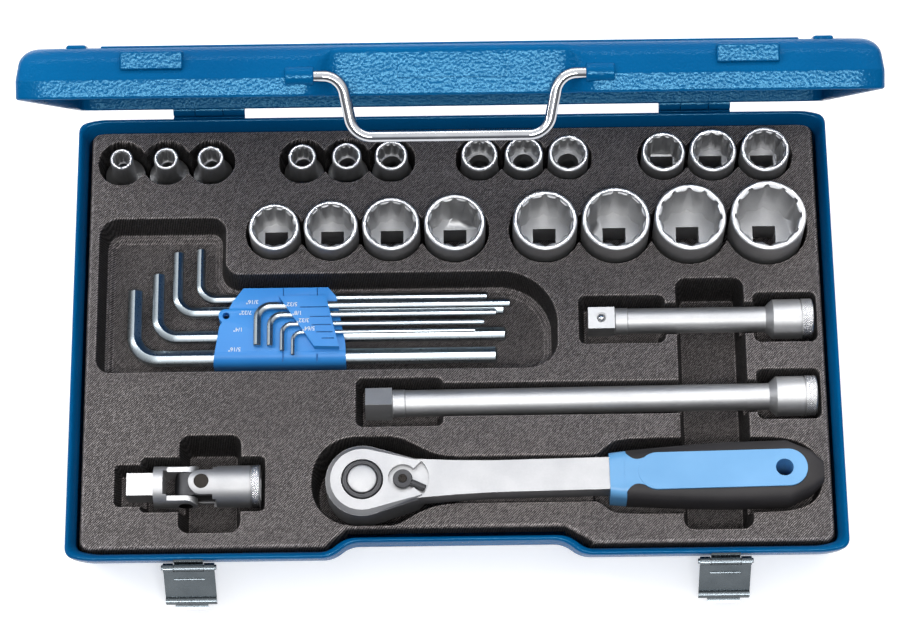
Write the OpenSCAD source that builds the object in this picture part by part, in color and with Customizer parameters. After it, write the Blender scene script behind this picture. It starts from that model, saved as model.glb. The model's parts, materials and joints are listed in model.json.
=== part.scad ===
// Socket wrench set in a steel case: a tray and a hinged lid of pressed steel, a moulded tool
// insert, twenty 1/2 inch sockets, a reversible ratchet, two extensions, a universal joint and
// eight hexagon keys in a holder. The origin is the middle of the tray's floor, +X runs along
// the case, +Y points to the hinges and +Z points up.

/* [Case] */
// Width over the rims of the case
case_w = 424; // [420:1:440]
// Depth over the rims of the case, front to back
case_d = 262; // [260:1:280]
// Height of the tray, floor to rim
tray_h = 42; // [40:0.5:50]
// Height of the lid, rim to top panel
lid_h = 25.4; // [24:0.2:32]
// Thickness of the pressed sheet
sheet_t = 0.9; // [0.6:0.1:1.2]
// Height of the stiff upright band round each rim
band_h = 9.5; // [8:0.5:11]
// Width of the folded hem of that band
band_t = 2.6; // [2:0.1:3.2]
// Angle by which the front walls lean back, from upright
front_lean = 17.4; // [12:0.2:18]
// Angle by which the side walls lean in, from upright
side_lean = 4.5; // [2:0.5:6]
// Length of the shallow corner cut along the front and back
corner_len = 11; // [6:1:16]
// Depth of the shallow corner cut
corner_cut = 2.8; // [1.5:0.1:4]
// Half width of the hand recess at its mouth
recess_mouth = 68; // [66.5:0.5:72]
// Half width of the hand recess at its floor
recess_floor = 57.5; // [54:0.5:60]
// Depth of the hand recess
recess_d = 8.6; // [7.5:0.1:9.4]
// Angle between the rims with the lid open as shown
lid_open = 65.9; // [40:0.1:100]
// Half width of the raised middle of the lid's top
panel_half_w = 171; // [140:1:180]
// Height of that raised middle
panel_raise = 0.8; // [0.4:0.1:1.5]

/* [Hinges] */
// Distance of each hinge's middle from the middle of the case
hinge_x = 138; // [100:1:160]
// Length of each hinge
hinge_len = 40.5; // [34:0.5:50]
// Radius of the hinge knuckles
knuckle_r = 3.6; // [3:0.1:3.8]
// Radius of the hinge pins
hinge_pin_r = 1.8; // [1.4:0.1:2]
// Distance of the hinge axis behind the rims
hinge_back = 5; // [4.8:0.1:6]
// Thickness of the hinge leaves
leaf_t = 0.9; // [0.6:0.1:1]

/* [Carry handle] */
// Diameter of the handle's wire
wire_d = 5.6; // [4.6:0.1:6]
// Distance of the handle's turning axis above the lid's rim
handle_up = 9.7; // [9:0.1:12]
// Distance from the turning axis to the middle of the grip
handle_drop = 29.7; // [26:0.1:34]
// Half length of the straight part of the grip
grip_half = 38.5; // [34:0.5:42]
// Bend radius of the wire, to its centre line
wire_bend_r = 10.6; // [9.5:0.1:12]
// Angle of the handle's legs from upright
leg_angle = 11; // [8:0.5:14]
// Half distance between the mouths of the two sleeves
sleeve_mouth = 66.2; // [65:0.1:68]
// Length of each sleeve
sleeve_len = 14; // [10:0.5:18]
// Wall of each sleeve
sleeve_wall = 2; // [1.4:0.1:2.2]

/* [Latches] */
// Distance of each latch's middle from the middle of the case
latch_x = 145; // [110:1:170]
// Width of the latch plates
latch_w = 27.8; // [24:0.2:34]
// Length of the latch plates from pin to end
latch_len = 28; // [27:0.2:29]
// Thickness of the latch plates
latch_t = 1.1; // [0.8:0.1:1.2]
// Height of the latch pins above the floor
latch_z = 36.5; // [36:0.1:37.5]
// Radius of the latch pins
latch_pin_r = 1.4; // [1.2:0.1:1.5]
// Angle at which a loose latch stands off, from upright
latch_hang = 28; // [20:1:35]
// Half width of the window in a latch plate
latch_window = 8.4; // [7:0.2:9]
// Width of each embossed pad that a latch closes on
pad_w = 30.6; // [28:0.2:36]

/* [Tool insert] */
// Height of the insert's flat top above the floor
insert_top = 35; // [34:0.2:37]
// Room between the insert and each end of the case
insert_side_gap = 7.5; // [6:0.1:8]
// Room between the insert and the back of the case
insert_back_gap = 4; // [3:0.5:5]
// Room between the insert and the front of the case
insert_front_gap = 6.7; // [6:0.1:9]
// Room round the tools in their pockets
pocket_gap = 0.8; // [0.6:0.1:1]
// Room below a tool that rests in its pocket
rest_gap = 0.3; // [0.3:0.05:0.5]
// Floor of the pocket of the keys
key_floor = 15.5; // [14:0.5:17]
// Floor of the finger wells
well_floor = 10; // [8:0.5:14]

/* [Sockets] */
// From the insert's back edge to the back row of sockets
back_row_inset = 20.5; // [20:0.5:22]
// From the back row of sockets to the front row
row_spacing = 44; // [40:0.5:44.5]
// Height of the socket bottoms above the floor
socket_rest_z = 3; // [2.6:0.1:4]
// Room between neighbouring sockets
socket_gap = 2.4; // [2:0.1:2.6]
// Across flats of the square drive
drive_sq = 12.7; // [12.7:0.1:12.9]
// Play of a square drive in its square hole
square_play = 0.15; // [0.1:0.05:0.3]
// Depth of the square holes
square_depth = 15.5; // [14:0.5:17]
// Diameter of a small socket's drive end
drive_end_d = 22.8; // [21.5:0.1:23.2]
// Length of the small sockets
socket_len = 38; // [36:0.5:39]
// Depth of the twelve-point hole in the small sockets
point_depth = 14; // [10:0.5:16]

/* [Ratchet] */
// Radius of the ratchet's head
head_r = 20; // [19:0.1:20.5]
// Height of the head's top above the floor
head_top = 45.5; // [44:0.1:47]
// Thickness of the head
head_t = 22; // [20:0.5:23]
// Distance from the head's axis to the lever's axis
lever_x = 22; // [21.6:0.1:23]
// Width of the shank at its middle
shank_w = 18.2; // [16:0.2:19]
// Thickness of the shank
shank_t = 12; // [10:0.5:13]
// Distance from the head's axis to the start of the handle
handle_x = 134.5; // [130:0.5:137]
// Length of the handle
handle_len = 117; // [112:0.5:118]
// Width of the handle
grip_w = 35.6; // [33:0.2:37]
// Thickness of the handle
grip_t = 25; // [23:0.5:26]
// Height of the handle's middle above the floor
grip_z = 33.6; // [33:0.2:35]
// Width of the handle's core where it shows on the flats
core_w = 21; // [18:0.5:23]
// Diameter of the hole at the end of the handle
hang_d = 9.6; // [7:0.2:10.5]
// Diameter of the drive gear
gear_d = 27; // [26:0.5:28]
// Number of teeth of the drive gear
gear_teeth = 36; // [24:4:48]
// Diameter of the push button
button_d = 16; // [14:0.5:17]
// Diameter of the ring round the push button
ring_d = 22.3; // [21:0.1:23]
// Travel of the push button
button_travel = 2.5; // [1.5:0.1:3]

/* [Extensions and universal joint] */
// Length of the short extension
short_len = 125; // [124:0.5:126]
// Length of the long extension
long_len = 249; // [247:0.5:250]
// Diameter of the short extension's shank
short_shank_d = 14.9; // [14:0.1:15.5]
// Diameter of the long extension's shank
long_shank_d = 15.5; // [14.5:0.1:16]
// Diameter of the extensions' barrels
barrel_d = 22; // [21:0.1:22.4]
// Height of the extensions' and the universal joint's axes above the floor
tool_axis_z = 30; // [29:0.1:31]
// Length of the square drive end
tang_len = 14.8; // [13:0.1:15]
// Diameter of the detent balls
ball_d = 4.8; // [4:0.1:5]
// Diameter of the universal joint
joint_d = 23; // [22:0.1:23.6]
// Diameter of the universal joint's pins
joint_pin_d = 8.2; // [7:0.1:8.6]

/* [Hexagon keys] */
// Width across the holder, along the keys
holder_w = 74; // [72:0.5:75]
// Thickness of the holder's body
holder_t = 12.9; // [12.8:0.1:13.2]
// Height of the raised plate over the small keys
plate_t = 5.3; // [5.2:0.1:6]
// Play of a key in its hole
key_play = 0.3; // [0.3:0.05:0.4]

/* [Hidden] */

// The insert fits the case
insert_half_w = case_w / 2 - insert_side_gap;
insert_back = case_d / 2 - insert_back_gap;
insert_front = case_d / 2 - insert_front_gap;
back_row_y = insert_back - back_row_inset;
front_row_y = back_row_y - row_spacing;
$fn = 48;

// Small overshoot that makes every cut pass clean through
cut = 0.5;
// Running clearance of a pin in its hole, on the radius
run = 0.06;
// Gap between parts that pass or meet each other without touching
gap = 0.35;
inch = 25.4;
steel_blue = "#0a5c98";
zinc = "#c9ccce";
chrome = "#c4c6c8";
bright = "#e6e8ea";
dark_steel = "#4a4644";
insert_black = "#3a3536";
grip_black = "#2f2d2f";
core_blue = "#4d9be0";
holder_blue = "#2e86d0";

rim_y = case_d / 2;
rim_x = case_w / 2;
step_in = band_t - sheet_t - 0.5;
front_run = (tray_h - band_h) * tan(front_lean);
lid_run = (lid_h - band_h) * tan(front_lean);
side_run = (tray_h - band_h) * tan(side_lean);
lid_side_run = (lid_h - band_h) * tan(side_lean);
back_run = 0.6;
hinge_y = rim_y + hinge_back;
hinge_z = tray_h + gap / 2;
lid_rim_z = tray_h + gap;

// ---------- shared shapes ----------

// Outline of a rim, shrunk by "in", with the shallow corner cuts
function rim_outline(in, front = 0, side = 0, back = 0) =
    let (x = rim_x - in - side, f = -rim_y + in + front, b = rim_y - in - back)
    [[-x + corner_len, f], [x - corner_len, f], [x, f + corner_cut], [x, b - corner_cut],
     [x - corner_len, b], [-x + corner_len, b], [-x, b - corner_cut], [-x, f + corner_cut]];

// Points of an arc about a centre
function arc(c, r, a0, a1, n = 6) =
    [for (i = [0:n]) c + r * [cos(a0 + (a1 - a0) * i / n), sin(a0 + (a1 - a0) * i / n)]];

// The hand recess as seen from above; "in" thickens the wall that remains round it
module recess_plan(in = 0) {
    spread = (recess_mouth - recess_floor) / recess_d;
    far = 20;
    polygon([[-recess_floor - in, -rim_y + recess_d + in], [recess_floor + in, -rim_y + recess_d + in],
        [recess_floor + in + spread * (recess_d + in + far), -rim_y - far],
        [-recess_floor - in - spread * (recess_d + in + far), -rim_y - far]]);
}

// A drawn pan of height h, its mouth at z = 0 and its floor at z = h, without its recess
module pan_body(h, in, f_run, s_run) {
    hull() {
        linear_extrude(0.01) polygon(rim_outline(in));
        translate([0, 0, h - 0.01]) linear_extrude(0.01)
            polygon(rim_outline(in, f_run, s_run, back_run));
    }
}

// A rounded rectangle from corner a to corner b, each corner with radius r
module round_rect(a, b, r) {
    polygon(concat(arc([b[0] - r, b[1] - r], r, 0, 90), arc([a[0] + r, b[1] - r], r, 90, 180),
        arc([a[0] + r, a[1] + r], r, 180, 270), arc([b[0] - r, a[1] + r], r, 270, 360)));
}

// A cylinder along X
module x_rod(r, len) {
    rotate([0, 90, 0]) cylinder(r = r, h = len);
}

// Turns what is drawn on the closed lid to the lid's open place
module on_lid() {
    translate([0, hinge_y, hinge_z]) rotate([-lid_open, 0, 0])
        translate([0, -hinge_y, -hinge_z]) children();
}

// The pan of the tray or lid as a sheet, mouth at z = 0: floor, walls, band and hem
module pan(h, f_run, s_run) {
    wall_in = step_in + sheet_t;
    difference() {
        union() {
            translate([0, 0, band_h]) pan_body(h - band_h, step_in, f_run, s_run);
            linear_extrude(band_h + sheet_t) polygon(rim_outline(0));
        }
        translate([0, 0, band_h]) pan_body(h - band_h - sheet_t, wall_in, f_run, s_run);
        translate([0, 0, -cut]) linear_extrude(band_h + cut + 0.01) polygon(rim_outline(band_t));
        translate([0, 0, -cut]) linear_extrude(h + 2 * cut) recess_plan();
    }
    // the wall of the hand recess
    intersection() {
        difference() {
            linear_extrude(h) recess_plan(sheet_t);
            translate([0, 0, -cut]) linear_extrude(h + 2 * cut) recess_plan();
        }
        union() {
            translate([0, 0, band_h]) pan_body(h - band_h, step_in, f_run, s_run);
            linear_extrude(band_h) polygon(rim_outline(0));
        }
    }
    // its folded hem
    linear_extrude(band_h) difference() {
        intersection() {
            recess_plan(band_t);
            polygon(rim_outline(0));
        }
        recess_plan();
    }
}

// ---------- case ----------

module tray_shell() {
    color(steel_blue) translate([0, 0, tray_h]) mirror([0, 0, 1]) pan(tray_h, front_run, side_run);
}

// Place of the handle's axis on the closed lid
handle_axis_y = -rim_y + wire_d / 2;
handle_axis_z = lid_rim_z + handle_up;
sleeve_r = wire_d / 2 + sleeve_wall;
pad_low = 14;
pad_high = 23;
foot_x = 183;
foot_y = 112;
foot_r = 5.5;
foot_h = 1.5;

module panel_plan(in) {
    front = -rim_y + recess_d + 6 + in;
    round_rect([-panel_half_w + in, front], [panel_half_w - in, rim_y - 14 - in], 10 - in);
}

module lid_shell() {
    color(steel_blue) on_lid() {
        difference() {
            translate([0, 0, lid_rim_z]) {
                pan(lid_h, lid_run, lid_side_run);
                // raised middle of the top panel
                translate([0, 0, lid_h - 0.01]) linear_extrude(panel_raise + 0.01) panel_plan(0);
                // four feet to stand the case on
                for (x = [-foot_x, foot_x], y = [-foot_y, foot_y])
                    translate([x, y, lid_h - 0.01]) cylinder(r = foot_r, h = foot_h + 0.01);
                // pads that the latches close on
                for (x = [-latch_x, latch_x])
                    translate([x - pad_w / 2, -rim_y + 0.6, pad_low])
                        cube([pad_w, lid_run + sheet_t, pad_high - pad_low]);
            }
            // the raised middle is pressed out of the sheet, so it is hollow from below
            translate([0, 0, lid_rim_z + lid_h - sheet_t - 0.01]) linear_extrude(panel_raise + 0.01)
                panel_plan(sheet_t);
            // seats of the handle's sleeves
            for (s = [0, 1]) mirror([s, 0, 0])
                translate([sleeve_mouth, handle_axis_y, handle_axis_z]) x_rod(sleeve_r, sleeve_len);
            for (s = [0, 1]) mirror([s, 0, 0])
                translate([sleeve_mouth - 12, handle_axis_y, handle_axis_z])
                    x_rod(wire_d / 2 + gap, 12 + cut);
        }
    }
}

module handle_sleeves() {
    color(steel_blue) on_lid()
        for (s = [0, 1]) mirror([s, 0, 0])
            translate([sleeve_mouth, handle_axis_y, handle_axis_z]) difference() {
                x_rod(sleeve_r, sleeve_len);
                translate([-cut, 0, 0]) x_rod(wire_d / 2 + run, sleeve_len - sleeve_wall + cut);
            }
}

// The handle's bends, worked out from its legs' angle
turn = 90 - leg_angle;
tangent = wire_bend_r * tan(turn / 2);
leg_len = handle_drop / cos(leg_angle) - 2 * tangent;
grip_corner_x = grip_half + tangent;
top_corner_x = grip_corner_x + handle_drop * tan(leg_angle);
handle_fold = asin((-handle_axis_y - (rim_y - recess_d) - wire_d / 2 - gap) / handle_drop);

module wire_bend() {
    rotate_extrude(angle = turn) translate([wire_bend_r, 0]) circle(d = wire_d);
}

// Half of the handle in its own plane: x outwards, y down to the grip
module handle_half() {
    end_x = sleeve_mouth + sleeve_len - sleeve_wall - gap;
    bend_x = top_corner_x - (-tangent);
    // grip
    x_rod_from = -0.01;
    translate([x_rod_from, handle_drop, 0]) x_rod(wire_d / 2, grip_half - x_rod_from);
    // lower bend
    translate([grip_half, handle_drop - wire_bend_r, 0]) rotate([0, 0, 90 - turn])
        wire_bend();
    // leg
    translate([grip_half + wire_bend_r * sin(turn), handle_drop - wire_bend_r + wire_bend_r * cos(turn), 0])
        rotate([0, 0, 180 - turn]) mirror([1, 0, 0]) x_rod(wire_d / 2, leg_len);
    // upper bend
    translate([bend_x, wire_bend_r, 0]) rotate([0, 0, -90 - turn]) wire_bend();
    // end in the sleeve
    translate([bend_x, 0, 0]) x_rod(wire_d / 2, end_x - bend_x);
}

module carry_handle() {
    color(bright) on_lid()
        translate([0, handle_axis_y, handle_axis_z]) rotate([-90 + handle_fold, 0, 0])
            for (s = [0, 1]) mirror([s, 0, 0]) handle_half();
}

// Both hinges: what stands on one side of the axis, seen in the closed case
module hinge_pair() {
    for (x = [-hinge_x, hinge_x]) translate([x - hinge_len / 2, 0, 0]) children();
}

knuckle_share = 0.3;
knuckle_slack = 0.3;
side_knuckle = hinge_len * knuckle_share;
mid_knuckle = hinge_len * (1 - 2 * knuckle_share) - 2 * knuckle_slack;
leaf_drop = 7.6;

// A leaf that hangs from its web towards -Z, with the web reaching back to the axis
module leaf(len) {
    translate([0, rim_y, hinge_z - leaf_drop]) cube([len, leaf_t, leaf_drop - gap / 2 - 0.4]);
}

module web(len) {
    translate([0, rim_y, hinge_z - knuckle_r]) cube([len, hinge_back, leaf_t]);
}

module knuckle(len) {
    translate([0, hinge_y, hinge_z]) x_rod(knuckle_r, len);
}

module pin_bore() {
    translate([-cut, hinge_y, hinge_z]) x_rod(hinge_pin_r + run, hinge_len + 2 * cut);
}

module hinge_tray_leaves() {
    color(steel_blue) hinge_pair() difference() {
        union() {
            leaf(hinge_len);
            for (x = [0, hinge_len - side_knuckle]) translate([x, 0, 0]) {
                web(side_knuckle);
                knuckle(side_knuckle);
            }
        }
        pin_bore();
    }
}

module hinge_lid_leaves() {
    color(steel_blue) on_lid() hinge_pair() difference() {
        union() {
            translate([0, 0, 2 * hinge_z]) mirror([0, 0, 1]) leaf(hinge_len);
            translate([side_knuckle + knuckle_slack, 0, 0]) {
                translate([0, 0, 2 * hinge_z]) mirror([0, 0, 1]) web(mid_knuckle);
                knuckle(mid_knuckle);
            }
        }
        pin_bore();
    }
}

module hinge_pins() {
    color(zinc) hinge_pair() translate([0, hinge_y, hinge_z]) x_rod(hinge_pin_r, hinge_len);
}

// ---------- latches ----------

latch_curl_r = 2.4;
latch_axis_y = -rim_y - latch_curl_r - 0.6;
latch_roll_at = 24.4;
latch_roll_r = 2.1;
latch_lip_half = 8.9;
latch_lip_len = 2.6;
window_end = 2.7;
latch_crease_at = 8.4;
latch_crease_r = 0.9;
bracket_half = 7.9;
bracket_r = 2.1;

// One plate with its pin on the origin, hanging straight down, its outer face towards -Y
module latch_plate() {
    half = latch_w / 2;
    difference() {
        union() {
            translate([-half, -latch_t / 2, -latch_len]) cube([latch_w, latch_t, latch_len]);
            translate([-half, 0, 0]) x_rod(latch_curl_r, latch_w);
            // rolled ridge that snaps on the lid's pad
            translate([-half, -latch_t / 2, -latch_roll_at]) intersection() {
                x_rod(latch_roll_r, latch_w);
                translate([0, -latch_roll_r, -latch_roll_r])
                    cube([latch_w, latch_roll_r + latch_t / 2, 2 * latch_roll_r]);
            }
            // crease across the plate below the window
            translate([-latch_window, -latch_t / 2 + 0.2, -latch_crease_at])
                x_rod(latch_crease_r, 2 * latch_window);
            // finger lip, bent away from the case when the latch is closed
            translate([-latch_lip_half, -latch_t / 2, -latch_len + 0.01]) rotate([-25, 0, 0])
                translate([0, 0, -latch_lip_len]) cube([2 * latch_lip_half, latch_t, latch_lip_len]);
        }
        // window round the bracket's barrel
        translate([-latch_window, -latch_curl_r - cut, -window_end])
            cube([2 * latch_window, 2 * (latch_curl_r + cut), window_end + latch_curl_r + cut]);
        translate([-half - cut, 0, 0]) x_rod(latch_pin_r + run, latch_w + 2 * cut);
    }
}

module hung_latch(x) {
    translate([x, latch_axis_y, latch_z]) rotate([-latch_hang, 0, 0]) latch_plate();
}

module latch_left_plate() {
    color(zinc) hung_latch(-latch_x);
}

module latch_right_plate() {
    color(zinc) hung_latch(latch_x);
}

// Bracket riveted on the tray's band: foot, web and the barrel that holds the pin
module latch_brackets() {
    foot_t = 1.2;
    color(zinc) for (x = [-latch_x, latch_x]) translate([x, 0, 0]) difference() {
        union() {
            translate([-bracket_half, -rim_y - foot_t, tray_h - band_h + 0.6])
                cube([2 * bracket_half, foot_t, band_h - 1.2]);
            translate([-bracket_half, latch_axis_y, latch_z]) x_rod(bracket_r, 2 * bracket_half);
            translate([-bracket_half, latch_axis_y, latch_z - bracket_r + 0.3])
                cube([2 * bracket_half, -rim_y - latch_axis_y, 1.2]);
        }
        translate([-bracket_half - cut, latch_axis_y, latch_z])
            x_rod(latch_pin_r + run, 2 * (bracket_half + cut));
    }
}

module latch_pins() {
    pin_over = 1.1;
    color(zinc) for (x = [-latch_x, latch_x])
        translate([x - latch_w / 2 - pin_over, latch_axis_y, latch_z])
            x_rod(latch_pin_r, latch_w + 2 * pin_over);
}

// ---------- sockets ----------

// Sizes in thirty-seconds of an inch, in the order of the nodes
size_32nds = [10, 11, 12, 13, 14, 16, 18, 19, 20, 22, 24, 25, 26, 28, 30, 32, 34, 36, 38, 40];
// First socket of each group
group_first = [0, 3, 6, 9, 12, 16];
// Its distance in from the insert's left end, or from its right end if less than 0
group_inset = [17.1, 119.5, -189.1, -84.9, 104.1, -152.9];
group_start_x = [for (d = group_inset) d > 0 ? d - insert_half_w : d + insert_half_w];
front_row_from = 12;

function across_flats(i) = size_32nds[i] / 32 * inch;
function socket_od(i) = across_flats(i) * 1.22 + 3.3;
function drive_od(i) = max(drive_end_d, socket_od(i) * 0.76);
function socket_widest(i) = max(socket_od(i), drive_od(i));
function socket_h(i) = socket_len + max(0, socket_od(i) - 24) * 0.55;
function group_of(i) = len([for (g = group_first) if (g <= i) g]) - 1;
function run_up(i, g) = i <= group_first[g] ? 0
    : run_up(i - 1, g) + (socket_widest(i) + socket_widest(i - 1)) / 2 + socket_gap;
function socket_x(i) = group_start_x[group_of(i)] + run_up(i, group_of(i));
function socket_y(i) = i < front_row_from ? back_row_y : front_row_y;

module twelve_point(af) {
    circle(d = af / cos(30), $fn = 6);
    rotate(30) circle(d = af / cos(30), $fn = 6);
}

// Square hole or square end, drawn flat
module drive_square(play) {
    square(drive_sq + 2 * play, center = true);
}

module socket(i) {
    af = across_flats(i);
    ro = socket_od(i) / 2;
    rd = drive_od(i) / 2;
    h = socket_h(i);
    bevel = 0.7;
    collar_h = 14;
    shoulder_h = 21;
    // a small socket's points end above a narrower hole, a large one's reach the square hole
    small = af < drive_sq * 1.35;
    points_from = small ? h - point_depth : square_depth + 1.5;
    square_to = small ? square_depth : points_from + cut;
    point_r = af / 2 / cos(30);
    color(chrome) translate([socket_x(i), socket_y(i), socket_rest_z]) difference() {
        rotate_extrude() polygon([[0, 0], [rd - bevel, 0], [rd, bevel], [rd, collar_h],
            [ro + (rd - ro) * 0.3, collar_h + (shoulder_h - collar_h) * 0.45], [ro, shoulder_h],
            [ro, h - bevel], [ro - bevel, h], [0, h]]);
        translate([0, 0, points_from]) linear_extrude(h) twelve_point(af);
        translate([0, 0, -cut]) linear_extrude(square_to + cut) drive_square(square_play);
        cylinder(r = min(af / 2 - 0.4, drive_sq * 0.48), h = h);
        // lead-in cone that scallops the rim
        translate([0, 0, h - 1]) cylinder(r1 = point_r - 0.55, r2 = point_r + 0.65, h = 1.2);
    }
}

module socket_5_16() { socket(0); }
module socket_11_32() { socket(1); }
module socket_3_8() { socket(2); }
module socket_13_32() { socket(3); }
module socket_7_16() { socket(4); }
module socket_1_2() { socket(5); }
module socket_9_16() { socket(6); }
module socket_19_32() { socket(7); }
module socket_5_8() { socket(8); }
module socket_11_16() { socket(9); }
module socket_3_4() { socket(10); }
module socket_25_32() { socket(11); }
module socket_13_16() { socket(12); }
module socket_7_8() { socket(13); }
module socket_15_16() { socket(14); }
module socket_1() { socket(15); }
module socket_1_1_16() { socket(16); }
module socket_1_1_8() { socket(17); }
module socket_1_3_16() { socket(18); }
module socket_1_1_4() { socket(19); }

// ---------- ratchet ----------

// Place and turn of the ratchet in its pocket
ratchet_at = [-51, -88];
ratchet_turn = 0.9;
head_low = head_top - head_t;
neck_x = 31;
neck_r = 10.6;
head_end_r = 13.9;
head_bevel = 2.6;
shank_low = head_top - 1.1 - shank_t;
gear_r = gear_d / 2;
gear_bore_r = gear_r + run;
gear_low = head_low + 3;
gear_high = gear_low + 12;
drive_boss_r = 10;
drive_end_z = 8;
lever_r = 5.3;
lever_well_r = 8;
lever_well_d = 3;
lever_angle = -26;
lever_len = head_end_r - 0.6;
lever_arm_w = 3.8;
lever_fan = -lever_angle + asin(lever_arm_w / 2 / lever_well_r) + 3;
pawl_x = lever_x;
pawl_r = 5.4;
pawl_nose = pawl_x - gear_r - gap - 0.3;
pawl_half = 4.2;
pawl_rock = 6;
cover_t = 1.6;
cover_r = 16;
stem_r = 3;

module on_ratchet() {
    translate([ratchet_at[0], ratchet_at[1], 0]) rotate([0, 0, ratchet_turn]) children();
}

// Outline of the head: a round head drawn out to the neck
module head_plan(shrink = 0) {
    r1 = head_r - shrink;
    r2 = neck_r - shrink * 0.5;
    b = asin((r1 - r2) / neck_x);
    circle(r = r1, $fn = 96);
    translate([neck_x, 0]) circle(r = r2);
    polygon([[r1 * sin(b), r1 * cos(b)], [neck_x + r2 * sin(b), r2 * cos(b)],
        [neck_x + r2 * sin(b), -r2 * cos(b)], [r1 * sin(b), -r1 * cos(b)]]);
}

// Limit of the head: it ends in an arc about the lever's axis
module head_limit() {
    translate([-2 * head_r, -2 * head_r]) square([2 * head_r + lever_x, 4 * head_r]);
    translate([lever_x, 0]) circle(r = head_end_r, $fn = 96);
}

// Outline of the shank, from the neck to inside the handle
module shank_plan() {
    reach = handle_x + 60;
    w = shank_w / 2;
    polygon([[lever_x, -neck_r - 1], [neck_x, -neck_r - 0.4], [neck_x + 20, -w - 0.7], [neck_x + 40, -w],
        [reach, -w], [reach, w], [neck_x + 40, w], [neck_x + 20, w + 0.7],
        [neck_x, neck_r + 0.4], [lever_x, neck_r + 1]]);
}

// Half width that the rocking pawl needs
pawl_room = pawl_half + pawl_nose * sin(pawl_rock) + gap;

module ratchet_head() {
    color(chrome) on_ratchet() difference() {
        union() {
            intersection() {
                union() {
                    translate([0, 0, head_low]) linear_extrude(head_t - head_bevel) head_plan();
                    translate([0, 0, head_top - head_bevel - 0.01]) hull() {
                        cylinder(r1 = head_r, r2 = head_r - head_bevel, h = head_bevel + 0.01, $fn = 32);
                        translate([neck_x, 0, 0])
                            cylinder(r1 = neck_r, r2 = neck_r - 1, h = head_bevel + 0.01, $fn = 32);
                    }
                }
                translate([0, 0, head_low - cut]) linear_extrude(head_t + 2 * cut) head_limit();
            }
            translate([0, 0, shank_low]) linear_extrude(shank_t) shank_plan();
        }
        // room for the gear, and the hole above it for the ring and the button's stem
        translate([0, 0, gear_low - rest_gap])
            cylinder(r = gear_bore_r + 0.3, h = gear_high - gear_low + 2 * rest_gap);
        translate([0, 0, gear_low]) cylinder(r = ring_d / 2 + gap, h = head_t);
        translate([0, 0, head_low - cut]) cylinder(r = cover_r, h = gear_low - head_low + cut);
        // room for the pawl and its stem, and the sunk seat of the lever
        translate([pawl_x, 0, gear_low - rest_gap])
            cylinder(r = pawl_r + gap, h = gear_high - gear_low + 2 * rest_gap);
        translate([lever_x, 0, gear_low]) cylinder(r = stem_r + run, h = head_t);
        translate([lever_x, 0, head_top - lever_well_d]) cylinder(r = lever_well_r, h = lever_well_d + cut);
        translate([lever_x, 0, head_top - lever_well_d]) linear_extrude(lever_well_d + cut)
            polygon(concat([[0, 0]], arc([0, 0], head_end_r + cut, -lever_fan, lever_fan, 8)));
        // neck of the pawl's room, open to the gear
        translate([gear_r - 3, -pawl_room, gear_low - rest_gap])
            cube([pawl_x - gear_r + 3, 2 * pawl_room, gear_high - gear_low + 2 * rest_gap]);
    }
}

// Plate pressed into the underside of the head, with the hole for the drive
module ratchet_back_cover() {
    color(chrome) on_ratchet() translate([0, 0, head_low]) difference() {
        cylinder(r = cover_r, h = cover_t);
        translate([0, 0, -cut]) cylinder(r = drive_boss_r + gap, h = cover_t + 2 * cut);
    }
}

// Gear with the square drive below and the sleeve for the button above
module ratchet_drive() {
    tooth_h = 1.1;
    top_r = ring_d / 2 - 1.4;
    color(chrome) on_ratchet() difference() {
        union() {
            translate([0, 0, gear_low]) linear_extrude(gear_high - gear_low)
                polygon([for (k = [0:2 * gear_teeth - 1])
                    let (r = k % 2 == 0 ? gear_r : gear_r - tooth_h, a = 180 * k / gear_teeth)
                    [r * cos(a), r * sin(a)]]);
            translate([0, 0, head_low - 2]) cylinder(r = drive_boss_r, h = gear_low - head_low + 2.01);
            translate([0, 0, drive_end_z]) linear_extrude(head_low - drive_end_z) drive_square(0);
        }
        translate([0, 0, gear_low + 4]) cylinder(r = button_d / 2 + run, h = head_t);
        // cross hole of the detent ball
        translate([0, -drive_sq / 2, ratchet_ball_z]) rotate([90, 0, 0]) ball_hole();
    }
}

ratchet_ball_z = drive_end_z + 6.5;
ball_out = 1;
ball_lip_d = ball_d + 1.4;
ball_lip_t = 0.6;
ball_travel = 0.8;

// Detent ball, standing a little out of the face of its square
module ratchet_ball() {
    color(bright) on_ratchet() translate([0, -drive_sq / 2 + ball_d / 2 - ball_out, ratchet_ball_z])
        sphere(d = ball_d, $fn = 32);
}

button_low = gear_low + 4 + button_travel + 0.4;

// Push button with a domed top, sliding in the gear's sleeve
module ratchet_button() {
    dome = 1.2;
    wall_top = head_top + 0.9;
    color(bright) on_ratchet() rotate_extrude() polygon(concat(
        [[0, button_low], [button_d / 2, button_low], [button_d / 2, wall_top]],
        [for (k = [1:6]) [button_d / 2 * cos(15 * k), wall_top + dome * sin(15 * k)]]));
}

// Dark ring between the button and the head
module ratchet_ring() {
    ring_low = gear_high + gap;
    ring_high = head_top + 0.6;
    bevel = 0.6;
    color(dark_steel) on_ratchet() rotate_extrude() polygon([[button_d / 2 + gap, ring_low],
        [ring_d / 2, ring_low], [ring_d / 2, ring_high - bevel], [ring_d / 2 - bevel, ring_high],
        [button_d / 2 + gap, ring_high]]);
}

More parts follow.
